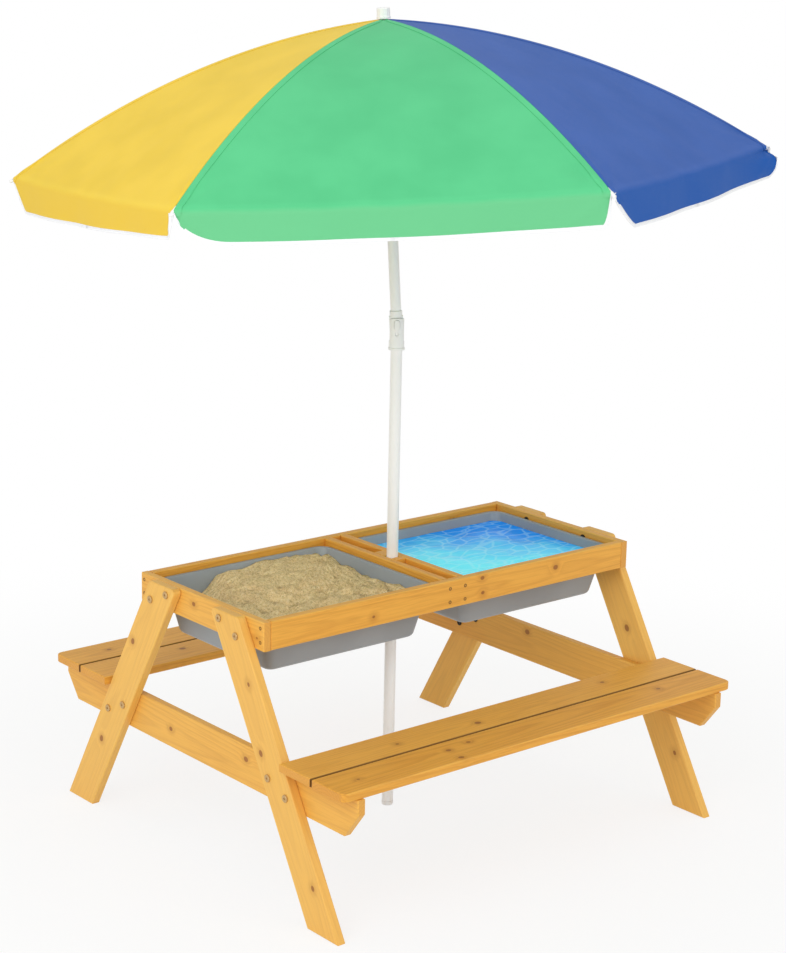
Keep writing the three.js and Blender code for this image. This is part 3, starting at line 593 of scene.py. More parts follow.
def rippled_water(name):
    """Water in a bin: a glossy, wavy skin, painted pale at the front and deep blue at the back as a
    reflection, with a net of light and a painted glow in its own colour.
    """
    props = bpy.context.scene.table_bins
    finish = Finish(name, Roughness=0.1, IOR=1.33, Specular_IOR_Level=0.12)
    place = finish.place()
    sway = finish.noise(place, 14.0) - 0.5
    # painted reflection: the water turns deep blue towards the back
    back = finish.step(finish.dot(place, (0.9, 1.0, 0.0)) + sway * 0.2, 0.06, 0.42)
    swayed = finish.stretched(finish.vector(sway, sway, 0.0), (0.05, 0.05, 0))
    bent = finish.vectors("ADD", finish.stretched(place, (1, 1.6, 1)), swayed)
    glint = 1 - finish.step(finish.cells(bent, 26.0, "DISTANCE_TO_EDGE"), 0.0, 0.12)
    tint = finish.coats(tuple(props.water), (back, tuple(props.deep)), (glint * 0.24, linear(196, 246, 255)))
    # painted light: the water glows in its own colour, to look brighter than the lamps make it
    finish.set(Base_Color=tint, Emission_Color=tint, Emission_Strength=0.22)
    finish.relief(finish.noise(place, 30.0) + finish.noise(place, 90.0) * 0.2, 0.003, 0.4)
    return finish


def threads(way, pitch):
    """A wave along a length over a surface, one for each pitch."""
    return (way * (2 * math.pi / pitch)).wave()


def woven_cloth(name, tint, valance_lit_tone):
    """Coated polyester: threads 0.4 mm apart along the surface's own two ways, a sheen and faint creases.

    The third argument is the screen colour below the rim, where the cloth hangs: painted light and shade on
    the upright valance. The fold between has a painted highlight.
    """
    finish = Finish(name, Specular_IOR_Level=0.22, Sheen_Weight=0.05, Sheen_Roughness=0.4)
    where = finish.ways()
    across, along = finish.dot(where, (1, 0, 0)), finish.dot(where, (0, 1, 0))
    weave = threads(across, 0.0008) * threads(along, 0.0008)
    cloud = finish.noise(where, 7.0, 3.0)
    crease = finish.noise(where, (26.0, 6.0, 1.0), 3.0)
    # painted highlight along the fold at the rim
    fold_highlight = 1 - finish.step(abs(along - CREST + (cloud - 0.5) * 0.01), 0.002, 0.012)
    base = finish.coats(
        tuple(tint),
        (finish.step(cloud, 0.3, 0.7), shade(tint, 1.08, 0.012)),
        # painted light and shade: the upright valance gets a tone of its own, paler for green and deeper for
        # yellow and blue
        (finish.step(along, CREST, CREST + 0.012), linear(*valance_lit_tone)),
        (fold_highlight * 0.14, shade(tint, 1.25, 0.03)),
        (finish.step(weave, 0.2, 0.9) * 0.12, shade(tint, 0.9)),
    )
    finish.set(Base_Color=base, Roughness=0.56 + cloud * 0.14)
    finish.relief(weave * 0.12 + crease * 3.0, 0.0006, 0.5)
    return finish


def hem_tape(name, tint):
    """Woven tape with a row of stitches down its middle, on the tape's own two ways."""
    finish = Finish(name, Roughness=0.7, Sheen_Weight=0.1)
    where = finish.ways()
    across, along = finish.dot(where, (1, 0, 0)), finish.dot(where, (0, 1, 0))
    stitch = finish.step(threads(along, 0.004), -0.2, 0.4)
    line = (1 - finish.step(abs(across - 0.5), 0.05, 0.1)) * stitch
    finish.set(Base_Color=finish.coats(tuple(tint), (line * 0.5, shade(tint, 0.82))))
    finish.relief(threads(along, 0.0011) * 0.3 - line, 0.0003, 0.5)
    return finish


# Table

# A leg's way out for each length of its height, and its half sizes along and across its grain
SPLAY = 0.575
LEG_WAY = np.array([0.0, SPLAY, 1.0])
LEG_HALF = (0.29, 0.042 / math.hypot(1, SPLAY))
WOOD_SEED = 11
# Share of a paler tone that a board has, by the first word of its name: painted light on the boards whose
# broad sides face left and right, towards the key lamp, most on the legs
PAINTED_LIGHT_SHARE = {"leg": 0.5, "end": 0.3, "cross": 0.3}
# Knots by board: two coordinates on its broad side, without the one across that side, and a radius
KNOTS = {
    "side_board_front": [
        (0.061, 0.5, 0.0042), (0.063, 0.471, 0.0038), (0.2504, 0.4878, 0.0055), (-0.2008, 0.4733, 0.003),
    ],
    "side_board_back": [(-0.12, 0.484, 0.005), (0.31, 0.493, 0.004)],
    "end_board_left": [(0.021, 0.489, 0.0045), (-0.171, 0.476, 0.0025)],
    "end_board_right": [(-0.06, 0.478, 0.005)],
    "leg_back_left": [(0.194, 0.376, 0.006), (0.307, 0.149, 0.006)],
    "leg_front_left": [(-0.209, 0.279, 0.006), (-0.172, 0.395, 0.0035), (-0.36, 0.08, 0.005)],
    "leg_back_right": [(0.25, 0.24, 0.006)],
    "leg_front_right": [(-0.2, 0.33, 0.006), (-0.345, 0.11, 0.004)],
    "cross_rail_left": [(-0.14, 0.242, 0.0055), (0.096, 0.228, 0.0045)],
    "cross_rail_right": [(0.069, 0.2535, 0.0055), (-0.25, 0.225, 0.004)],
    "bench_front_inner_plank": [(-0.0683, -0.3314, 0.0055), (-0.2531, -0.3261, 0.003), (0.27, -0.31, 0.004)],
    "bench_front_outer_plank": [
        (-0.2005, -0.4032, 0.0045), (-0.1463, -0.3937, 0.004), (-0.2049, -0.4414, 0.005),
        (-0.4109, -0.4129, 0.003), (0.33, -0.4, 0.004),
    ],
    "bench_back_inner_plank": [(-0.26, 0.33, 0.006), (0.3, 0.3, 0.005)],
    "bench_back_outer_plank": [(-0.38, 0.41, 0.004), (0.12, 0.42, 0.006)],
}


class PICNIC_OT_boards(Operator):
    """Gives each board its own sawn wood: grain along its length, rings, knots and worn edges."""

    bl_idname = "picnic.boards"
    bl_label = "Boards"

    def execute(self, context):
        x, y, z = np.eye(3)
        ways = {}
        for side, sy in SIDES:
            ways |= {f"leg_{side}_{end}": (LEG_WAY * [1, -sy, 1], x) for end, _ in ENDS}
            ways |= {f"{kind}_{side}": (x, y) for kind in ("side_board", "ledge", "pole_block")}
            ways |= {f"bench_{side}_{plank}_plank": (x, z) for plank in ("inner", "outer")}
        for end, _ in ENDS:
            ways |= {f"{kind}_{end}": (y, x) for kind in ("end_board", "cross_rail", "divider")}
        for seed, (node, (along, face)) in enumerate(sorted(ways.items())):
            kind = node.split("_")[0]
            centre, size = (low(node) + high(node)) / 2, (high(node) - low(node)) / 2
            half = (float(along @ size), float(abs(np.cross(face, along)) @ size), float(abs(face) @ size))
            if kind == "leg":
                half = (*LEG_HALF, half[2])
            gap_shade_side = None
            # Bench planks get painted shade on the side that faces the next plank
            if kind == "bench":
                gap_shade_side = y * np.sign(centre[1]) * (1 if "inner" in node else -1)
            board = ("wood_" + node, along, face, centre, half)
            look = (seed + WOOD_SEED, KNOTS.get(node, ()), PAINTED_LIGHT_SHARE.get(kind, 0.1), gap_shade_side)
            dress(frame["nodes"][node], wood(*board, *look))
        return {"FINISHED"}


HEAD_SIDES = 24


def hexagon(across_flats):
    """Radius of a hexagon round a turn: half its width over the cosine of the angle from the nearest flat."""
    angle = round_angles(HEAD_SIDES)
    return across_flats / 2 / np.cos((angle + np.pi / 6) % (np.pi / 3) - np.pi / 6)


def cross_recess(reach, width):
    """Radius of a plus sign round a turn: its arm's end or its arm's side, whichever is nearer."""
    angle = round_angles(HEAD_SIDES) + 1e-4
    cos, sin = abs(np.cos(angle)), abs(np.sin(angle))
    return np.minimum(reach / np.maximum(cos, sin), width / np.minimum(cos, sin))


def bolt(grip, head=0.007, shank=0.003):
    """Connector bolt along Z: its head above 0 with a hexagon socket, and its shank down the grip."""
    return lofted(turned([
        (shank * 0.8, -grip - 0.0005), (shank, -grip), (shank, 0), (head, 0), (head, 0.0016),
        (head * 0.97, 0.0023), (head * 0.86, 0.0029), (head * 0.7, 0.003), (head * 0.62, 0.0027),
        (head * 0.5, 0.0027), (hexagon(0.0042), 0.0026), (hexagon(0.004), 0.0008),
    ], HEAD_SIDES))


def sleeve_nut(reach=0.0062, deep=0.0028):
    """Sleeve nut's flange along Z, which faces down: a low dome with a deep hexagon socket."""
    return lofted(turned([
        (hexagon(0.0044), -0.0004), (hexagon(0.0048), -deep), (reach * 0.8, -deep),
        (reach * 0.95, -deep * 0.8), (reach, -deep * 0.4), (reach, 0),
    ], HEAD_SIDES))


def screw(head=0.0035):
    """Countersunk screw head along Z, just proud of the wood, with a cross recess and a short shank."""
    return lofted(turned([
        (0.0016, -0.012), (0.0018, -0.0026), (head, -0.0002), (head, 0.0003), (head * 0.9, 0.0005),
        (cross_recess(head * 0.62, head * 0.2), 0.00045), (cross_recess(head * 0.5, head * 0.14), -0.0011),
    ], HEAD_SIDES))


# How far a bolt's head and its nut stand off the wood
PROUD = 0.0003
# The two bolts of each joint: distance from the table's middle, and height
JOINTS = {"leg": ((0.1335, 0.473), (0.083, 0.4935)), "rail": ((0.281, 0.219), (0.23, 0.24))}
# The screws' places along a board, and their heights
DIVIDER_SCREWS = ((-0.0185, 0.0185), (0.493, 0.467))
CORNER_SCREWS = ((0.181,), (0.496, 0.47))


class PICNIC_OT_fasteners(Operator):
    """Makes the connector bolts of the leg joints, two in each, and the countersunk screws."""

    bl_idname = "picnic.fasteners"
    bl_label = "Bolts and screws"

    def execute(self, context):
        steel = plated_steel("bolt_steel", linear(186, 150, 96), linear(222, 190, 138))
        # screw heads of a brownish plating, deepened as painted shade for their cross recesses
        bronze_recess_shade = plated_steel("screw_steel", linear(120, 82, 40), linear(176, 136, 80))
        # painted shade: the sleeve nuts are coloured very dark to stand for the shade in the holes they sit
        # in
        nut_shade = plated_steel("nut_steel", linear(44, 38, 32), linear(74, 64, 52))
        grip = LEG_OUTSIDE + PROUD - END_INSIDE + PROUD
        spins = iter(np.random.default_rng(5).uniform(0, 2, 64))
        for (kind, places), (end, sx), (side, sy) in product(JOINTS.items(), ENDS, SIDES):
            x = sx * (LEG_OUTSIDE + PROUD)
            rows = [(sy * y, z, next(spins)) for y, z in places]
            ends = (("bolts", bolt(grip), x, steel), ("nuts", sleeve_nut(), x - sx * grip, nut_shade))
            for word, shape, at, finish in ends:
                shapes = [pointed(shape, (at, y, z), (sx, 0, 0), spin) for y, z, spin in rows]
                made = solid(f"{kind}_{word}_{side}_{end}", *joined(shapes), finish, flat=(0, 1))
                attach(made, "table")
                if word == "bolts":
                    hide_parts(f"{kind}_bolt_{side}_{end}")
        both = (-1, 1)
        ways = [((x, sy * FRAME_SIDE, z), (0, sy, 0)) for sy, x, z in product(both, *DIVIDER_SCREWS)]
        for sx, sy, y, z in product(both, both, *CORNER_SCREWS):
            ways.append(((sx * FRAME_END, sy * y, z), (sx, 0, 0)))
        shapes = [pointed(screw(), place, way, next(spins)) for place, way in ways]
        made = solid("frame_screws", *joined(shapes), bronze_recess_shade, flat=(0, 1))
        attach(made, "table")
        return {"FINISHED"}


# Bins: half sizes of the tub's outside at the rim and at the floor, its heights and its wall

BIN_X = 0.22875
TUB_TOP = (0.1915, 0.1665)
TUB_FLOOR = (0.171, 0.143)
TUB_RIM = 0.4965
TUB_BASE = 0.396
WALL = 0.0025
# Radii of the upright corners at the floor, what they gain to the rim, and of the bend from floor to wall
CORNER = 0.018
CORNER_GAIN = 0.004
BEND = 0.009
# The lip: how far it reaches outside the wall, how far its skirt hangs, and the radii of its top's two edges
LIP = 0.006
SKIRT = 0.0049
LIP_ROUND = 0.002
MOUTH_ROUND = 0.0016
# Insets of the rings that close a floor
FLOOR_RINGS = (0.02, 0.05, 0.1)
# What fills a tub keeps this far off its wall and its floor, with a bend of its own
FILL_OFF_WALL = 0.0004
FILL_OFF_FLOOR = 0.0005
FILL_BEND = 0.0067
SAND_LEVEL = 0.469
WATER_LEVEL = 0.479


def tub_size(height, inset):
    """Half sizes and corner radius of the tub's outside at a height, less an inset."""
    share = (height - TUB_BASE) / (TUB_RIM - TUB_BASE)
    half = [a + (b - a) * share - inset for a, b in zip(TUB_FLOOR, TUB_TOP)]
    return half[0], half[1], CORNER + CORNER_GAIN * share - inset


def tub_ring(height, inset=0.0):
    """The tub's rounded outline at a height, less an inset, as points."""
    x, y, radius = tub_size(height, inset)
    loop = rounded(x, y, max(radius, 0.004))
    return np.column_stack([loop, np.full(len(loop), height)])


def bent(height, inset, radius, start, end, steps):
    """Outlines of the tub round a bend in its wall: an arc in the wall's profile, angles in degrees."""
    return [tub_ring(height + z, inset - x) for x, z in arc(radius, start, end, steps)]


def tub():
    """Drawn tub: out over the floor, up the wall, round the lip and its skirt, and down inside."""
    skirt, hem, inside = LIP - WALL, TUB_RIM - SKIRT, BEND - WALL
    return lofted([
        *[tub_ring(TUB_BASE, inset) for inset in reversed(FLOOR_RINGS)],
        *bent(TUB_BASE + BEND, BEND, BEND, -90, 0, 6),
        *[tub_ring(z) for z in np.linspace(TUB_BASE + 0.02, TUB_RIM - 0.0045, 10)],
        *[tub_ring(TUB_RIM - 0.003, -x) for x in (0.0006, 0.003)],
        *[tub_ring(z, -skirt) for z in (TUB_RIM - 0.004, hem)],
        *bent(hem, -skirt - WALL / 2, WALL / 2, 180, 360, 6)[1:-1],
        tub_ring(hem, -LIP),
        *bent(TUB_RIM - LIP_ROUND, LIP_ROUND - LIP, LIP_ROUND, 0, 90, 5),
        *bent(TUB_RIM - MOUTH_ROUND, WALL - MOUTH_ROUND, MOUTH_ROUND, 90, 180, 4),
        *[tub_ring(z, WALL) for z in np.linspace(TUB_RIM - 0.006, TUB_BASE + 0.014, 10)],
        *bent(TUB_BASE + BEND, BEND, inside, 0, -90, 6),
        *[tub_ring(TUB_BASE + WALL, inset) for inset in FLOOR_RINGS],
    ])


def fill_rings(level, height):
    """What lies in a tub: out from its middle to the wall, down the wall, and back across the floor.

    height gives the top's rise over the level from x and y. The outline widens with it, as the tub does.
    """
    wall, bottom = WALL + FILL_OFF_WALL, TUB_BASE + WALL + FILL_OFF_FLOOR
    edge = tub_ring(level, wall)[:, :2]
    share = np.concatenate([[0.004], np.linspace(0, 1, 100)[1:]])[:, None, None]
    x, y = np.moveaxis(edge * share, -1, 0)
    rise = height(x, y)
    wider = [(rim - floor) / (TUB_RIM - TUB_BASE) for rim, floor in zip(TUB_TOP, TUB_FLOOR)]
    size = tub_size(level, wall)
    x, y = x * (1 + rise * wider[0] / size[0]), y * (1 + rise * wider[1] / size[1])
    top = np.stack([x, y, level + rise], -1)
    base = tub_ring(TUB_BASE + 0.012, wall)
    fall = np.linspace(0, 1, 12)[1:, None, None]
    sides = top[-1] + (base - top[-1]) * fall
    floor = bent(bottom + FILL_BEND, wall + FILL_BEND, FILL_BEND, 0, -90, 4)
    floor += [tub_ring(bottom, inset) for inset in (0.03, 0.07, 0.12)]
    return np.concatenate([top, sides, np.array(floor)])


def lumps(x, y, seed, waves):
    """Sum of sine waves in seeded directions: waves are (wavelength, height, count) rows."""
    rng = np.random.default_rng(seed)
    total = np.zeros_like(x)
    for span, height, count in waves:
        for _ in range(count):
            angle, phase = rng.uniform(0, 2 * np.pi, 2)
            turn = 2 * np.pi / (span * rng.uniform(0.75, 1.3))
            way = x * math.cos(angle) + y * math.sin(angle)
            total += height / math.sqrt(count) * np.sin(turn * way + phase)
    return total


HEAP = 0.02
BANK = 0.024
# Place of each mound as a share of the tub's half size, and its height as a share of the heap's
MOUNDS = ((0.5, 0.8, 1.0), (-0.3, 0.75, 0.75), (-0.1, -0.1, 0.35), (0.4, -0.5, 0.25))
# Wavelength of the sand's lumps, height as a share of the lump setting, and count
SAND_WAVES = ((0.075, 0.6, 6), (0.034, 0.5, 10), (0.017, 0.4, 14), (0.008, 0.24, 18))
# Wavelength of the water's ripples, height and count
WATER_WAVES = ((0.08, 0.0005, 4), (0.035, 0.0002, 5))
HOLLOWS = 16


def sand_heap(x, y):
    """Rise of the sand: a sum of bell-shaped mounds, the highest against the back wall."""
    x, y = x / TUB_TOP[0], y / TUB_TOP[1]
    return HEAP * sum(rise * np.exp(-((x - mx) ** 2 + (y - my) ** 2) / 0.36) for mx, my, rise in MOUNDS)


def sand_bank(x, y):
    """How much lower the sand lies in the far left corner: the product of two smooth steps, one each way."""
    return BANK / (1 + np.exp((x + 0.115 - 0.2 * y) / 0.006)) / (1 + np.exp(-(y - 0.04) / 0.02))


def sand_height(x, y):
    """The heap less the bank, with lumps of several sizes and small hollows, each with a raised edge."""
    lump = bpy.context.scene.table_bins.lump
    rough = lumps(x, y, 7, [(span, lump * share, count) for span, share, count in SAND_WAVES])
    rng = np.random.default_rng(21)
    dug = 0 * x
    for _ in range(HOLLOWS):
        cx, cy, size = rng.uniform(-0.14, 0.15), rng.uniform(-0.12, 0.1), rng.uniform(0.008, 0.02)
        away = np.hypot(x - cx, y - cy) / size
        dug = dug + 0.36 * size * (0.8 * np.exp(-((away - 1.5) ** 2) * 3) - np.exp(-(away ** 2)))
    return sand_heap(x, y) + rough + dug - sand_bank(x, y)


class PICNIC_OT_bins(Operator):
    """Makes the two drawn plastic tubs with rolled lips."""

    bl_idname = "picnic.bins"
    bl_label = "Bins"

    def execute(self, context):
        finish = moulded_plastic("bin_plastic", context.scene.table_bins.plastic)
        points, faces = tub()
        for name, x in (("sand_bin", -BIN_X), ("water_bin", BIN_X)):
            made = solid(name + "_tub", points + [x, 0, 0], faces, finish, sharp=50)
            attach(made, name)
            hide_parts(name)
        return {"FINISHED"}


class PICNIC_OT_fills(Operator):
    """Makes the sand, with mounds, a bank and lumps on top, and the water, gently rippled."""

    bl_idname = "picnic.fills"
    bl_label = "Sand and water"

    def execute(self, context):
        sand = fill_rings(SAND_LEVEL, sand_height)
        water = fill_rings(WATER_LEVEL, lambda x, y: lumps(x, y, 3, WATER_WAVES))
        x, y, z = np.moveaxis(sand, -1, 0)
        # Hollows below a smoothed level are marked for the darker colour: dampness and painted shade
        dry = SAND_LEVEL + 0.0005 + sand_heap(x, y) * 0.85 - 1.1 * sand_bank(x, y)
        damp = np.concatenate([np.clip((dry - z) / 0.006, 0, 1).ravel(), [0, 0]])
        uv = np.column_stack([damp, 0 * damp])
        for name, at, rings, finish, uv in (
            ("sand", -BIN_X, sand, loose_sand("sand"), uv),
            ("water", BIN_X, water, rippled_water("water"), None),
        ):
            points, faces = lofted(rings)
            made = solid(name, points + [at, 0, 0], faces, finish, uv=uv)
            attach(made, name + "_bin")
            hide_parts(name + "_fill")
        return {"FINISHED"}


# Pole and parasol fittings

LOWER_RADIUS = 0.011
UPPER_RADIUS = 0.01
UPPER_ENDS = (0.9741, 1.5053)
TUBE_WALL = 0.0012
TUBE_SIDES = 48


def tube(radius, bottom, top):
    """Tube along Z with eased ends: up the outside, over the end and down the bore."""
    ease, bore = 0.0004, radius - TUBE_WALL
    profile = [(bore, bottom + ease), (bore + ease, bottom), (radius - ease, bottom), (radius, bottom + ease)]
    profile += [(radius, z) for z in np.linspace(bottom + 0.003, top - 0.003, 24)]
    profile += [(radius, top - ease), (radius - ease, top), (bore + ease, top), (bore, top - ease)]
    profile += [(bore, (bottom + top) / 2)]
    points = turned(profile, TUBE_SIDES).reshape(-1, 3)
    return points, [grid_faces(len(profile) + 1, TUBE_SIDES, True) % len(points)]


class PICNIC_OT_pole(Operator):
    """Makes the pole's two tubes and eases the foot, the tilt joint, its pin and its button."""

    bl_idname = "picnic.pole"
    bl_label = "Pole and tilt joint"

    def execute(self, context):
        white = context.scene.table_parasol.white
        metal = painted_metal("white_metal", white)
        plastic = moulded_plastic("white_plastic", white, 0.35, 0.1)
        lower, faces = tube(LOWER_RADIUS, low("lower_pole")[2], high("lower_pole")[2])
        upper = stood(tube(UPPER_RADIUS, *UPPER_ENDS)[0])
        for name, body, points in (("lower_pole", "pole", lower), ("upper_pole", "parasol_head", upper)):
            made = solid(name + "_tube", points, faces, metal, sharp=40)
            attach(made, body)
            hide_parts(name)
        for node in ("pole_foot", "knuckle_socket", "knuckle_tongue", "tilt_button"):
            softened(node, plastic)
        softened("tilt_pin", metal, 0.0004)
        return {"FINISHED"}


# The cloth over a rib: radii of its two ends, heights at the pole and at the rim, and its slope at the pole
RIM = 0.692
CLOTH_START = 0.012
APEX = 1.516
RIM_HEIGHT = 1.259
START_SLOPE = 0.08
DROP = APEX - RIM_HEIGHT - START_SLOPE * RIM


def rib_line(radius):
    """Height of the cloth over a rib: a slight slope at the crown, less the square of the radius."""
    return APEX - START_SLOPE * radius - DROP * (radius / RIM) ** 2


def rib_tip(nose=0.0034):
    """A rib's end cap: a round nose on a short sleeve that tapers onto the rib."""
    profile = arc(nose, -90, 0, 4)[:-1] + [(nose, 0.0), (nose, 0.008), (0.0027, 0.012), (0.0025, 0.02)]
    slope = START_SLOPE + 2 * DROP / RIM
    way = np.array([-1.0, 0.0, slope]) / math.hypot(1, slope)
    place = np.array([RIM + 0.003, 0.0, rib_line(RIM + 0.002) - 0.0042])
    return pointed(lofted(turned([(max(r, 1e-5), z) for r, z in profile], 20)), place, way)


class PICNIC_OT_parasol_frame(Operator):
    """Eases the crown, runner and cap, paints the ribs and stretchers, and caps the ribs' ends."""

    bl_idname = "picnic.parasol_frame"
    bl_label = "Parasol frame"

    def execute(self, context):
        white = context.scene.table_parasol.white
        metal = painted_metal("rib_metal", white)
        plastic = moulded_plastic("crown_plastic", white, 0.35, 0.1)
        for node in ("crown", "runner", "top_cap"):
            softened(node, plastic, 0.0004)
        points, faces = rib_tip()
        for k in range(RIBS):
            dress(frame["nodes"][f"rib_{k + 1}"], metal)
            dress(frame["nodes"][f"stretcher_{k + 1}"], metal)
            made = solid(f"rib_tip_{k + 1}", stood(points, k * math.pi / 3), faces, plastic)
            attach(made, f"rib_{k + 1}")
        return {"FINISHED"}


# Canopy

# The valance's depth at a cut end, the fold's length before the rim, and the cloth's sag between ribs
STUB = 0.0025
FOLD = 0.009
SAG = 0.006
# Heights of the ripples over the crown and of the valance's waves
RIPPLE = 0.0007
WAVE = 0.003
# Height of the creases at a gore's corners, and the distance from the corner where they are highest
CREASE = 0.0011
CREASE_REACH = 0.03
# Depth over which a flaring valance swings out
FLARE_DEPTH = 0.055
# Gap from a gore's edge to the middle of its rib, and what it gains at the rim
EDGE_GAP = 0.0003
CORNER_GAP = 0.0016
# Width of the doubled cloth at a rib, its rise over the cloth, and the thickness of the folded hem tape
SEAM_WIDE = 0.012
SEAM_RISE = 0.0009
TAPE_THICK = 0.0017
# Length from the crown at which the cloth turns down
CREST = 0.645
# For each cloth: the valance's depth at mid gore and what it loses to its second rib, then the width and
# roundness of the cuts at its first and second ribs
VALANCES = {
    "yellow": (0.0525, 0.008, 0.05, 1.1, 0.022, 2.0),
    "green": (0.054, 0.0, 0.09, 2.0, 0.014, 2.0),
    "blue": (0.0595, 0.004, 0.08, 1.15, 0.018, 2.0),
    "blue_back": (0.0595, 0.004, 0.08, 1.15, 0.13, 1.05),
}
# How far a gore's valance swings out near its second rib
FLARES = {"blue_front": 0.022}


def cut_share(along, width, roundness):
    """Share of the full depth near a cut end: a quarter of an ellipse, nearly a line where roundness is 1."""
    near = np.clip(along / width, 0, 1)
    return (1 - (1 - near) ** roundness) ** (1 / roundness)


def valance_depth(across, gore):
    """Depth of the valance across a gore, from -1 at its first rib to 1, cut back at both ends."""
    depth, taper, first, first_round, second, second_round = VALANCES.get(gore, VALANCES[gore.split("_")[0]])
    along = across * RIM / 2
    share = cut_share(RIM / 2 + along, first, first_round) * cut_share(RIM / 2 - along, second, second_round)
    return STUB + (depth - taper * across - STUB) * share


def creases(along, inward):
    """Height of the creases out of a gore's corner: rays that grow and then fade with distance."""
    away = np.hypot(along, inward) / CREASE_REACH
    turn = np.arctan2(inward, along + 1e-6)
    rays = np.cos(turn * 9 + 0.6) + 0.6 * np.cos(turn * 17 + 2.1)
    return CREASE * rays * away * np.exp(1 - away) * np.sin(np.clip(turn, 0, np.pi)) ** 0.5


def flare(across, hung, gore):
    """How far a valance swings out near its second rib: a bow down its depth, with a nick under the rim."""
    bow = np.sin(np.pi * 0.85 * np.minimum(hung, 1))
    nick = 0.5 * np.exp(-(((hung - 0.15) / 0.1) ** 2)) * np.minimum(hung / 0.1, 1)
    return FLARES.get(gore, 0.0) * np.clip((across - 0.6) / 0.4, 0, 1) ** 2 * (bow - nick)


def gore_surface(across, radius, drop, gore):
    """Points of a gore, its middle along X.

    The rows are straight across at height rib_line(radius), sag in the middle, and hang straight down
    past the rim by drop, a share of the valance's depth there. Faint ripples fade out at the ribs, creases
    run out of the corners, and a flaring valance swings outwards near its second rib.
    """
    share = (radius - CLOTH_START) / (RIM - CLOTH_START)
    half = radius / 2 - (EDGE_GAP + CORNER_GAP * share ** 50)
    depth = valance_depth(across, gore) * drop
    middle = 1 - across ** 2
    bow = middle * np.sin(np.pi / 2 * share)
    wave = WAVE * drop * (1 + np.sin(across * 9)) * middle
    ripple = RIPPLE * share ** 3 * middle * np.sin(across * 19 + 1.3) * (1 - 0.4 * drop)
    inward = RIM - radius + depth
    folds = creases((1 - across) * RIM / 2, inward) + creases((1 + across) * RIM / 2, inward)
    out = flare(across, depth / FLARE_DEPTH, gore)
    x = radius * math.cos(math.pi / 6) + wave + out + ripple * 0.6 + folds * drop
    z = rib_line(radius) - SAG * bow - depth - ripple * (1 - drop) + folds * (1 - drop)
    return np.stack([x, across * half, z], -1)


def crown_rows():
    """Radii of the rows over the crown, closer together near the rim."""
    return CLOTH_START + (RIM - FOLD - CLOTH_START) * np.linspace(0, 1, 64)[:, None] ** 0.8


def gore_rows(across, gore, hang=True):
    """Part of a gore: rows over the crown, a fold and, where it hangs, the valance.

    across has one row, or one for each row over the crown. The fold is a parabola that rounds off the rim.
    """
    radius = crown_rows()
    top = gore_surface(across + 0 * radius, radius + 0 * across, 0.0, gore)
    across = across[-1:]
    rim = RIM + 0 * across
    first = np.minimum(0.6, 0.8 * FOLD / valance_depth(across, gore))
    corner, end = [gore_surface(across, rim, drop, gore)[0] for drop in (0.0, first)]
    t = np.linspace(0, 1, 9)[1:, None, None]
    fold = (1 - t) ** 2 * top[-1] + 2 * t * (1 - t) * corner + t ** 2 * end
    if not hang:
        return np.vstack([top, fold])
    t = np.linspace(0, 1, 14)[1:, None]
    valance = gore_surface(across + 0 * t, RIM + 0 * (across + t), first + (1 - first) * t, gore)
    return np.vstack([top, fold, valance])


def half_gore(sign, columns, gore):
    """Half a gore's upper surface, from its middle to its rib."""
    return gore_rows(sign * np.sin(np.linspace(0, np.pi / 2, columns + 1))[None, :], gore)


def upward(grid):
    """Unit normals of a grid of points, from the cross product of its two ways, on its upper side."""
    normal = np.cross(np.gradient(grid, axis=0), np.gradient(grid, axis=1))
    normal /= np.linalg.norm(normal, axis=-1, keepdims=True)
    return normal * np.sign(normal[grid.shape[0] // 2, grid.shape[1] // 2, 2])


def seam_band(sign, gore):
    """The doubled cloth beside a rib: a strip of even width, narrower at the crown, raised over the cloth."""
    share = np.minimum(2 * SEAM_WIDE / crown_rows(), 0.6)
    grid = gore_rows(sign * (1 - share * np.linspace(0, 1, 4)[None, ::-1]), gore, hang=False)
    return grid + upward(grid) * SEAM_RISE


def surface_places(grid):
    """Two ways over both faces of a gore's sheet: the place across, and the length along its middle."""
    steps = np.linalg.norm(np.diff(half_gore(1, 1, "green")[:, 0], axis=0), axis=-1)
    rows = np.concatenate([[0], np.cumsum(steps)])[: len(grid)]
    uv = np.stack([grid[..., 1], np.broadcast_to(rows[:, None], grid.shape[:2])], -1).reshape(-1, 2)
    return np.vstack([uv, uv])


def thick_sheet(points, thickness):
    """A grid of points as a closed sheet: the grid, a copy thickness below it, and its four edges."""
    rows, columns = points.shape[:2]
    under = points - upward(points) * thickness
    top = grid_faces(rows, columns, False)
    layer = rows * columns
    border = np.concatenate([
        np.arange(columns), np.arange(1, rows) * columns + columns - 1,
        layer - 2 - np.arange(columns - 1), (rows - 2 - np.arange(rows - 2)) * columns,
    ])
    after = np.roll(border, -1)
    edge = np.stack([after, border, border + layer, after + layer], -1)
    both = np.vstack([points.reshape(-1, 3), under.reshape(-1, 3)])
    return both, [np.vstack([top, top[:, ::-1] + layer]), edge]


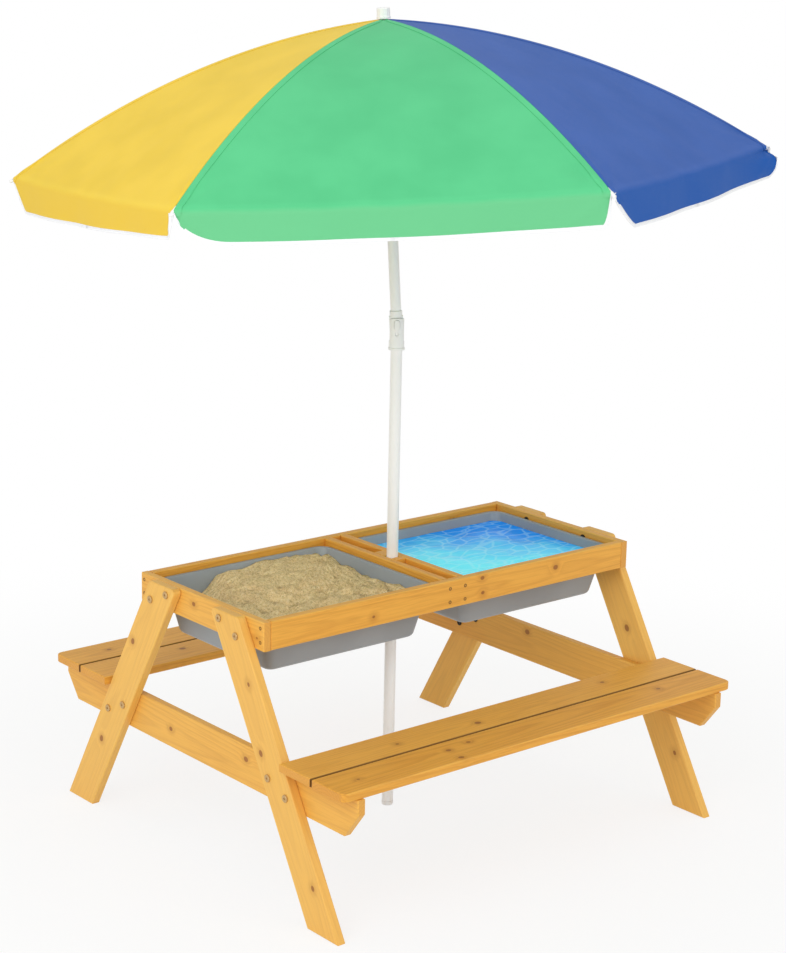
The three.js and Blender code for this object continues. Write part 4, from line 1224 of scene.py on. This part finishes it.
def tape(path, normal, width):
    """Tape folded over an edge: a closed flat loop carried along the path, round the cloth's edge."""
    along = np.gradient(path, axis=0)
    along /= np.linalg.norm(along, axis=-1, keepdims=True)
    up = np.cross(normal, along)
    up /= np.linalg.norm(up, axis=-1, keepdims=True)
    up *= np.sign(up[0, 2])
    half = TAPE_THICK / 2
    nose = [(0.0008 * math.sin(a), half * math.cos(a)) for a in np.linspace(np.pi, 2 * np.pi, 7)]
    loop = np.array([(width, -half), *nose, (width, half)])
    section = path[:, None] + up[:, None] * loop[None, :, :1] + normal[:, None] * loop[None, :, 1:]
    travel = np.concatenate([[0], np.cumsum(np.linalg.norm(np.diff(path, axis=0), axis=-1))])
    share = np.abs(loop[:, 0]) / width
    uv = np.stack(np.broadcast_arrays(share[None, :], travel[:, None]), -1).reshape(-1, 2)
    return *lofted(section), np.vstack([uv, uv[:1], uv[-1:]])


class PICNIC_OT_canopy(Operator):
    """Makes the cloth: each gore in two halves that ride on its ribs, with valance, hem and seams."""

    bl_idname = "picnic.canopy"
    bl_label = "Canopy"

    def execute(self, context):
        props = context.scene.table_parasol
        # Colours below the rim: painted light and shade on the upright valance
        valance_lit_tone = (("yellow", (238, 200, 66)), ("green", (108, 200, 140)), ("blue", (24, 88, 172)))
        cloths = {name: woven_cloth(name + "_cloth", getattr(props, name), hung) for name, hung in valance_lit_tone}
        white = hem_tape("hem_tape", props.hem)
        for (k, gore), (part, sign) in product(enumerate(GORES), (("low", -1), ("high", 1))):
            name = gore.split("_")[0]
            azimuth = k * math.pi / 3 + math.pi / 6
            grid = half_gore(sign, props.strips, gore)
            uv = surface_places(grid)
            points, faces = thick_sheet(grid, props.thickness)
            made = solid(f"canopy_{gore}_{part}", stood(points, azimuth), faces, cloths[name], (1,), uv, 50)
            normal = upward(grid)[-1]
            points, faces, hem_uv = tape(grid[-1] - normal * props.thickness / 2, normal, props.hem_width)
            hem = solid(f"hem_{gore}_{part}", stood(points, azimuth), faces, white, (1,), hem_uv)
            band = seam_band(sign, gore)
            points, faces = thick_sheet(band, props.thickness)
            uv = surface_places(band)
            seam = solid(f"seam_{gore}_{part}", stood(points, azimuth), faces, cloths[name], (1,), uv, 50)
            rib = (k if sign < 0 else k + 1) % RIBS
            body, turn = f"rib_{rib + 1}", rib * math.pi / 3
            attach(seam, body)
            for piece in (made, hem):
                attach(piece, body)
                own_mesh(piece)
            if sign > 0:
                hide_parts(f"canopy_gore_{gore}")
        return {"FINISHED"}


# Stage

EYE = (-2.5924, -3.0921, 1.6777)
YAW, PITCH, ROLL = 0.6973, 0.2459, 0.0202
# Focal length in pixels over the height of the picture in pixels
ZOOM = 2192.0 / 953
FLOOR_REACH = 30.0


def camera_axes():
    """Right, up and back of the camera: a heading and a dip, then a small roll."""
    ahead = np.array([math.cos(PITCH) * math.sin(YAW), math.cos(PITCH) * math.cos(YAW), -math.sin(PITCH)])
    right = np.cross(ahead, [0, 0, 1])
    right /= np.linalg.norm(right)
    up = np.cross(right, ahead)
    return math.cos(ROLL) * right + math.sin(ROLL) * up, -math.sin(ROLL) * right + math.cos(ROLL) * up, -ahead


class PICNIC_OT_stage(Operator):
    """Sets the floor, the soft light and the camera."""

    bl_idname = "picnic.stage"
    bl_label = "Floor, light and camera"

    def execute(self, context):
        scene = context.scene
        scene.view_settings.view_transform = "Standard"
        self.floor(scene.table_stage.floor)
        self.world(scene)
        self.lamps(scene)
        camera = bpy.data.cameras.new("camera")
        camera.sensor_width = 36
        camera.lens = ZOOM * 36
        camera.clip_end = 100
        scene.camera = bpy.data.objects.new("camera", camera)
        scene.camera.matrix_world = Matrix.Translation(EYE) @ Matrix(camera_axes()).transposed().to_4x4()
        scene.collection.objects.link(scene.camera)
        return {"FINISHED"}

    def floor(self, tint):
        """A wide floor that is nearly white to the camera and wholly white far off, but keeps the shadow."""
        corners = np.array([(-1, -1, 0), (1, -1, 0), (1, 1, 0), (-1, 1, 0)]) * FLOOR_REACH - [0, 0, 0.0005]
        finish = Finish("floor", Roughness=0.9, Specular_IOR_Level=0.1, Base_Color=tuple(tint))
        away = finish.vectors("LENGTH", finish.place(), output="Value")
        bare = (0.8 + 0.2 * finish.step(away, 0.7, 1.9)) * finish.seen("Camera", "Glossy", "Transmission")
        plain = finish.node("ShaderNodeEmission", None, {"Color": (1, 1, 1, 1), "Strength": 1.0})
        shaded = Value(finish, finish.shader.outputs[0])
        both = finish.node("ShaderNodeMixShader", None, {0: bare, 1: shaded, 2: plain})
        finish.fill(finish.nodes["Material Output"], {0: both})
        solid("floor", corners, [np.array([[0, 1, 2, 3]])], finish, flat=(0,))

    def world(self, scene):
        """White to the camera, and an even light from all round."""
        scene.world = bpy.data.worlds.new("room")
        room = Nodes(scene.world)
        glow = room.nodes["Background"]
        room.fill(glow, {"Color": (1, 1, 1, 1), "Strength": scene.table_stage.fill})
        plain = room.node("ShaderNodeBackground", None, {"Color": (1, 1, 1, 1), "Strength": 1.0})
        shaders = {1: Value(room, glow.outputs[0]), 2: plain}
        both = room.node("ShaderNodeMixShader", None, {0: room.seen("Camera", "Transmission"), **shaders})
        room.fill(room.nodes["World Output"], {0: both})

    def lamps(self, scene):
        """A large key lamp from the left, a weaker one from the front and a faint one from above."""
        for name, place, size, share in (
            ("key", (-3.4, -1.4, 2.5), 3.0, 1.0),
            ("front", (0.3, -4.0, 2.5), 3.0, 0.55),
            ("top", (0.4, 0.6, 4.2), 3.5, 0.14),
        ):
            lamp = bpy.data.lights.new(name, "AREA")
            lamp.energy = scene.table_stage.key * share
            lamp.size = size
            made = bpy.data.objects.new(name, lamp)
            aim = Vector((0, 0, 0.7)) - Vector(place)
            made.matrix_world = Matrix.Translation(place) @ aim.to_track_quat("-Z", "Y").to_matrix().to_4x4()
            scene.collection.objects.link(made)


class PICNIC_PT_panel(Panel):
    """Lists the table's sizes and colours, and a button for each step."""

    bl_label = "Sandbox Picnic Table"
    bl_idname = "PICNIC_PT_panel"
    bl_space_type = "VIEW_3D"
    bl_region_type = "UI"
    bl_category = "Picnic Table"

    def draw(self, context):
        for group in GROUPS:
            box, props = self.layout.box(), getattr(context.scene, group)
            for name in props.bl_rna.properties.keys():
                if name not in ("rna_type", "name"):
                    box.prop(props, name)
        for operator in OPERATORS:
            self.layout.operator(operator.bl_idname)


OPERATORS = (
    PICNIC_OT_boards,
    PICNIC_OT_fasteners,
    PICNIC_OT_bins,
    PICNIC_OT_fills,
    PICNIC_OT_pole,
    PICNIC_OT_parasol_frame,
    PICNIC_OT_canopy,
    PICNIC_OT_stage,
)
GROUPS = {
    "table_wood": WoodProps, "table_bins": BinProps, "table_parasol": ParasolProps, "table_stage": StageProps,
}


def register():
    for name, group in GROUPS.items():
        bpy.utils.register_class(group)
        setattr(bpy.types.Scene, name, PointerProperty(type=group))
    for kind in (*OPERATORS, PICNIC_PT_panel):
        bpy.utils.register_class(kind)


def unregister():
    for kind in (PICNIC_PT_panel, *reversed(OPERATORS)):
        bpy.utils.unregister_class(kind)
    for name, group in GROUPS.items():
        delattr(bpy.types.Scene, name)
        bpy.utils.unregister_class(group)


def main():
    register()
    for operator in OPERATORS:
        group, name = operator.bl_idname.split(".")
        getattr(getattr(bpy.ops, group), name)()


if __name__ == "__main__":
    main()
